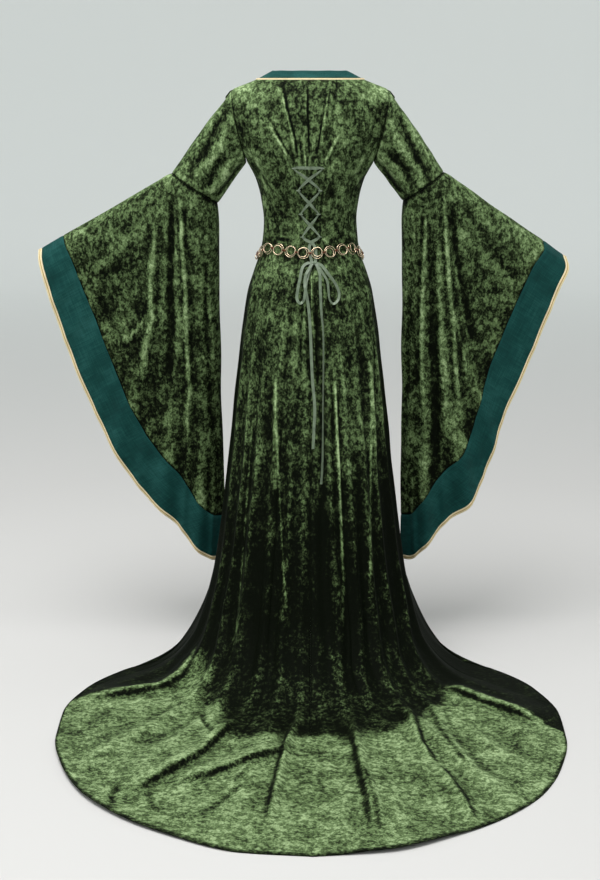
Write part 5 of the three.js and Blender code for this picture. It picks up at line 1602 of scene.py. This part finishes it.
class DRESS_OT_stage(bpy.types.Operator):
    """Makes the pale studio ground and its soft lights"""

    bl_idname = "dress.stage"
    bl_label = "Stage"

    def execute(self, context):
        stage = context.scene.dress_stage
        make_ground()
        area_light("overhead_light", stage.overhead, 3.2, (0.7, 1.5, 3.4), (0.0, 0.3, -0.9))
        area_light("fill_light", stage.fill, 3.0, (1.2, 5.2, 1.6), (0.0, 0.0, -0.5))
        world = bpy.data.worlds.new("studio_sky")
        world.use_nodes = True
        background = world.node_tree.nodes["Background"]
        background.inputs["Color"].default_value = (0.93, 0.96, 0.97, 1)
        background.inputs["Strength"].default_value = stage.sky
        context.scene.world = world
        context.scene.view_settings.view_transform = "Standard"
        return {"FINISHED"}


def make_ground():
    """A round floor whose rim curves up into a wall: a profile turned about the upright axis. It has no roof."""
    curve = np.linspace(0, math.pi / 2, 14)
    radius = np.concatenate([[300, 3000, 6500], 8000 + 1500 * np.sin(curve), [9500]])
    height = np.concatenate([[0, 0, 0], 1500 * (1 - np.cos(curve)), [9000]])
    angle = np.arange(FLOOR_SIDES) * 2 * math.pi / FLOOR_SIDES
    points = xyz(radius[:, None] * np.cos(angle), radius[:, None] * np.sin(angle) + 500, height[:, None])
    index = np.arange(points[..., 0].size).reshape(len(radius), FLOOR_SIDES)
    index = ringed(index)
    mesh = mesh_from("studio_floor", points.reshape(-1, 3), [grid_quads(index)[:, ::-1], index[:1, :-1]])
    floor = bpy.data.objects.new("studio_floor", mesh)
    bpy.context.scene.collection.objects.link(floor)
    mesh.materials.append(material_of("ground"))


def area_light(name, power, size, place, aim):
    """A square light that points at a place."""
    lamp = bpy.data.lights.new(name, "AREA")
    lamp.energy = power
    lamp.size = size
    light = bpy.data.objects.new(name, lamp)
    light.location = place
    way = Vector(aim) - Vector(place)
    light.rotation_euler = way.to_track_quat("-Z", "Y").to_euler()
    bpy.context.scene.collection.objects.link(light)


class DRESS_PT_panel(bpy.types.Panel):
    """Lists the dress's sizes, colours and pieces"""

    bl_idname = "DRESS_PT_panel"
    bl_label = "Dress"
    bl_space_type = "VIEW_3D"
    bl_region_type = "UI"
    bl_category = "Dress"

    def draw(self, context):
        for group in (context.scene.dress_sizes, context.scene.dress_colours, context.scene.dress_stage):
            box = self.layout.box()
            for name in group.__annotations__:
                box.prop(group, name)
        for operator in OPERATORS:
            self.layout.operator(operator.bl_idname)


GROUPS = {"dress_sizes": DressSizes, "dress_colours": DressColours, "dress_stage": DressStage}
OPERATORS = (
    DRESS_OT_camera,
    DRESS_OT_cords,
    DRESS_OT_lacing,
    DRESS_OT_gown,
    DRESS_OT_sleeves,
    DRESS_OT_neck,
    DRESS_OT_belt,
    DRESS_OT_stage,
)


def register():
    """Registers the classes and hangs the property groups on the scene."""
    for cls in (*GROUPS.values(), *OPERATORS, DRESS_PT_panel):
        bpy.utils.register_class(cls)
    for name, group in GROUPS.items():
        setattr(bpy.types.Scene, name, PointerProperty(type=group))


def unregister():
    """Takes them off again."""
    for name in GROUPS:
        delattr(bpy.types.Scene, name)
    for cls in reversed((*GROUPS.values(), *OPERATORS, DRESS_PT_panel)):
        bpy.utils.unregister_class(cls)


def main():
    """Makes the whole dress."""
    register()
    bpy.ops.dress.camera()
    bpy.ops.dress.cords()
    bpy.ops.dress.lacing()
    bpy.ops.dress.gown()
    bpy.ops.dress.sleeves()
    bpy.ops.dress.neck()
    bpy.ops.dress.belt()
    bpy.ops.dress.stage()


if __name__ == "__main__":
    main()
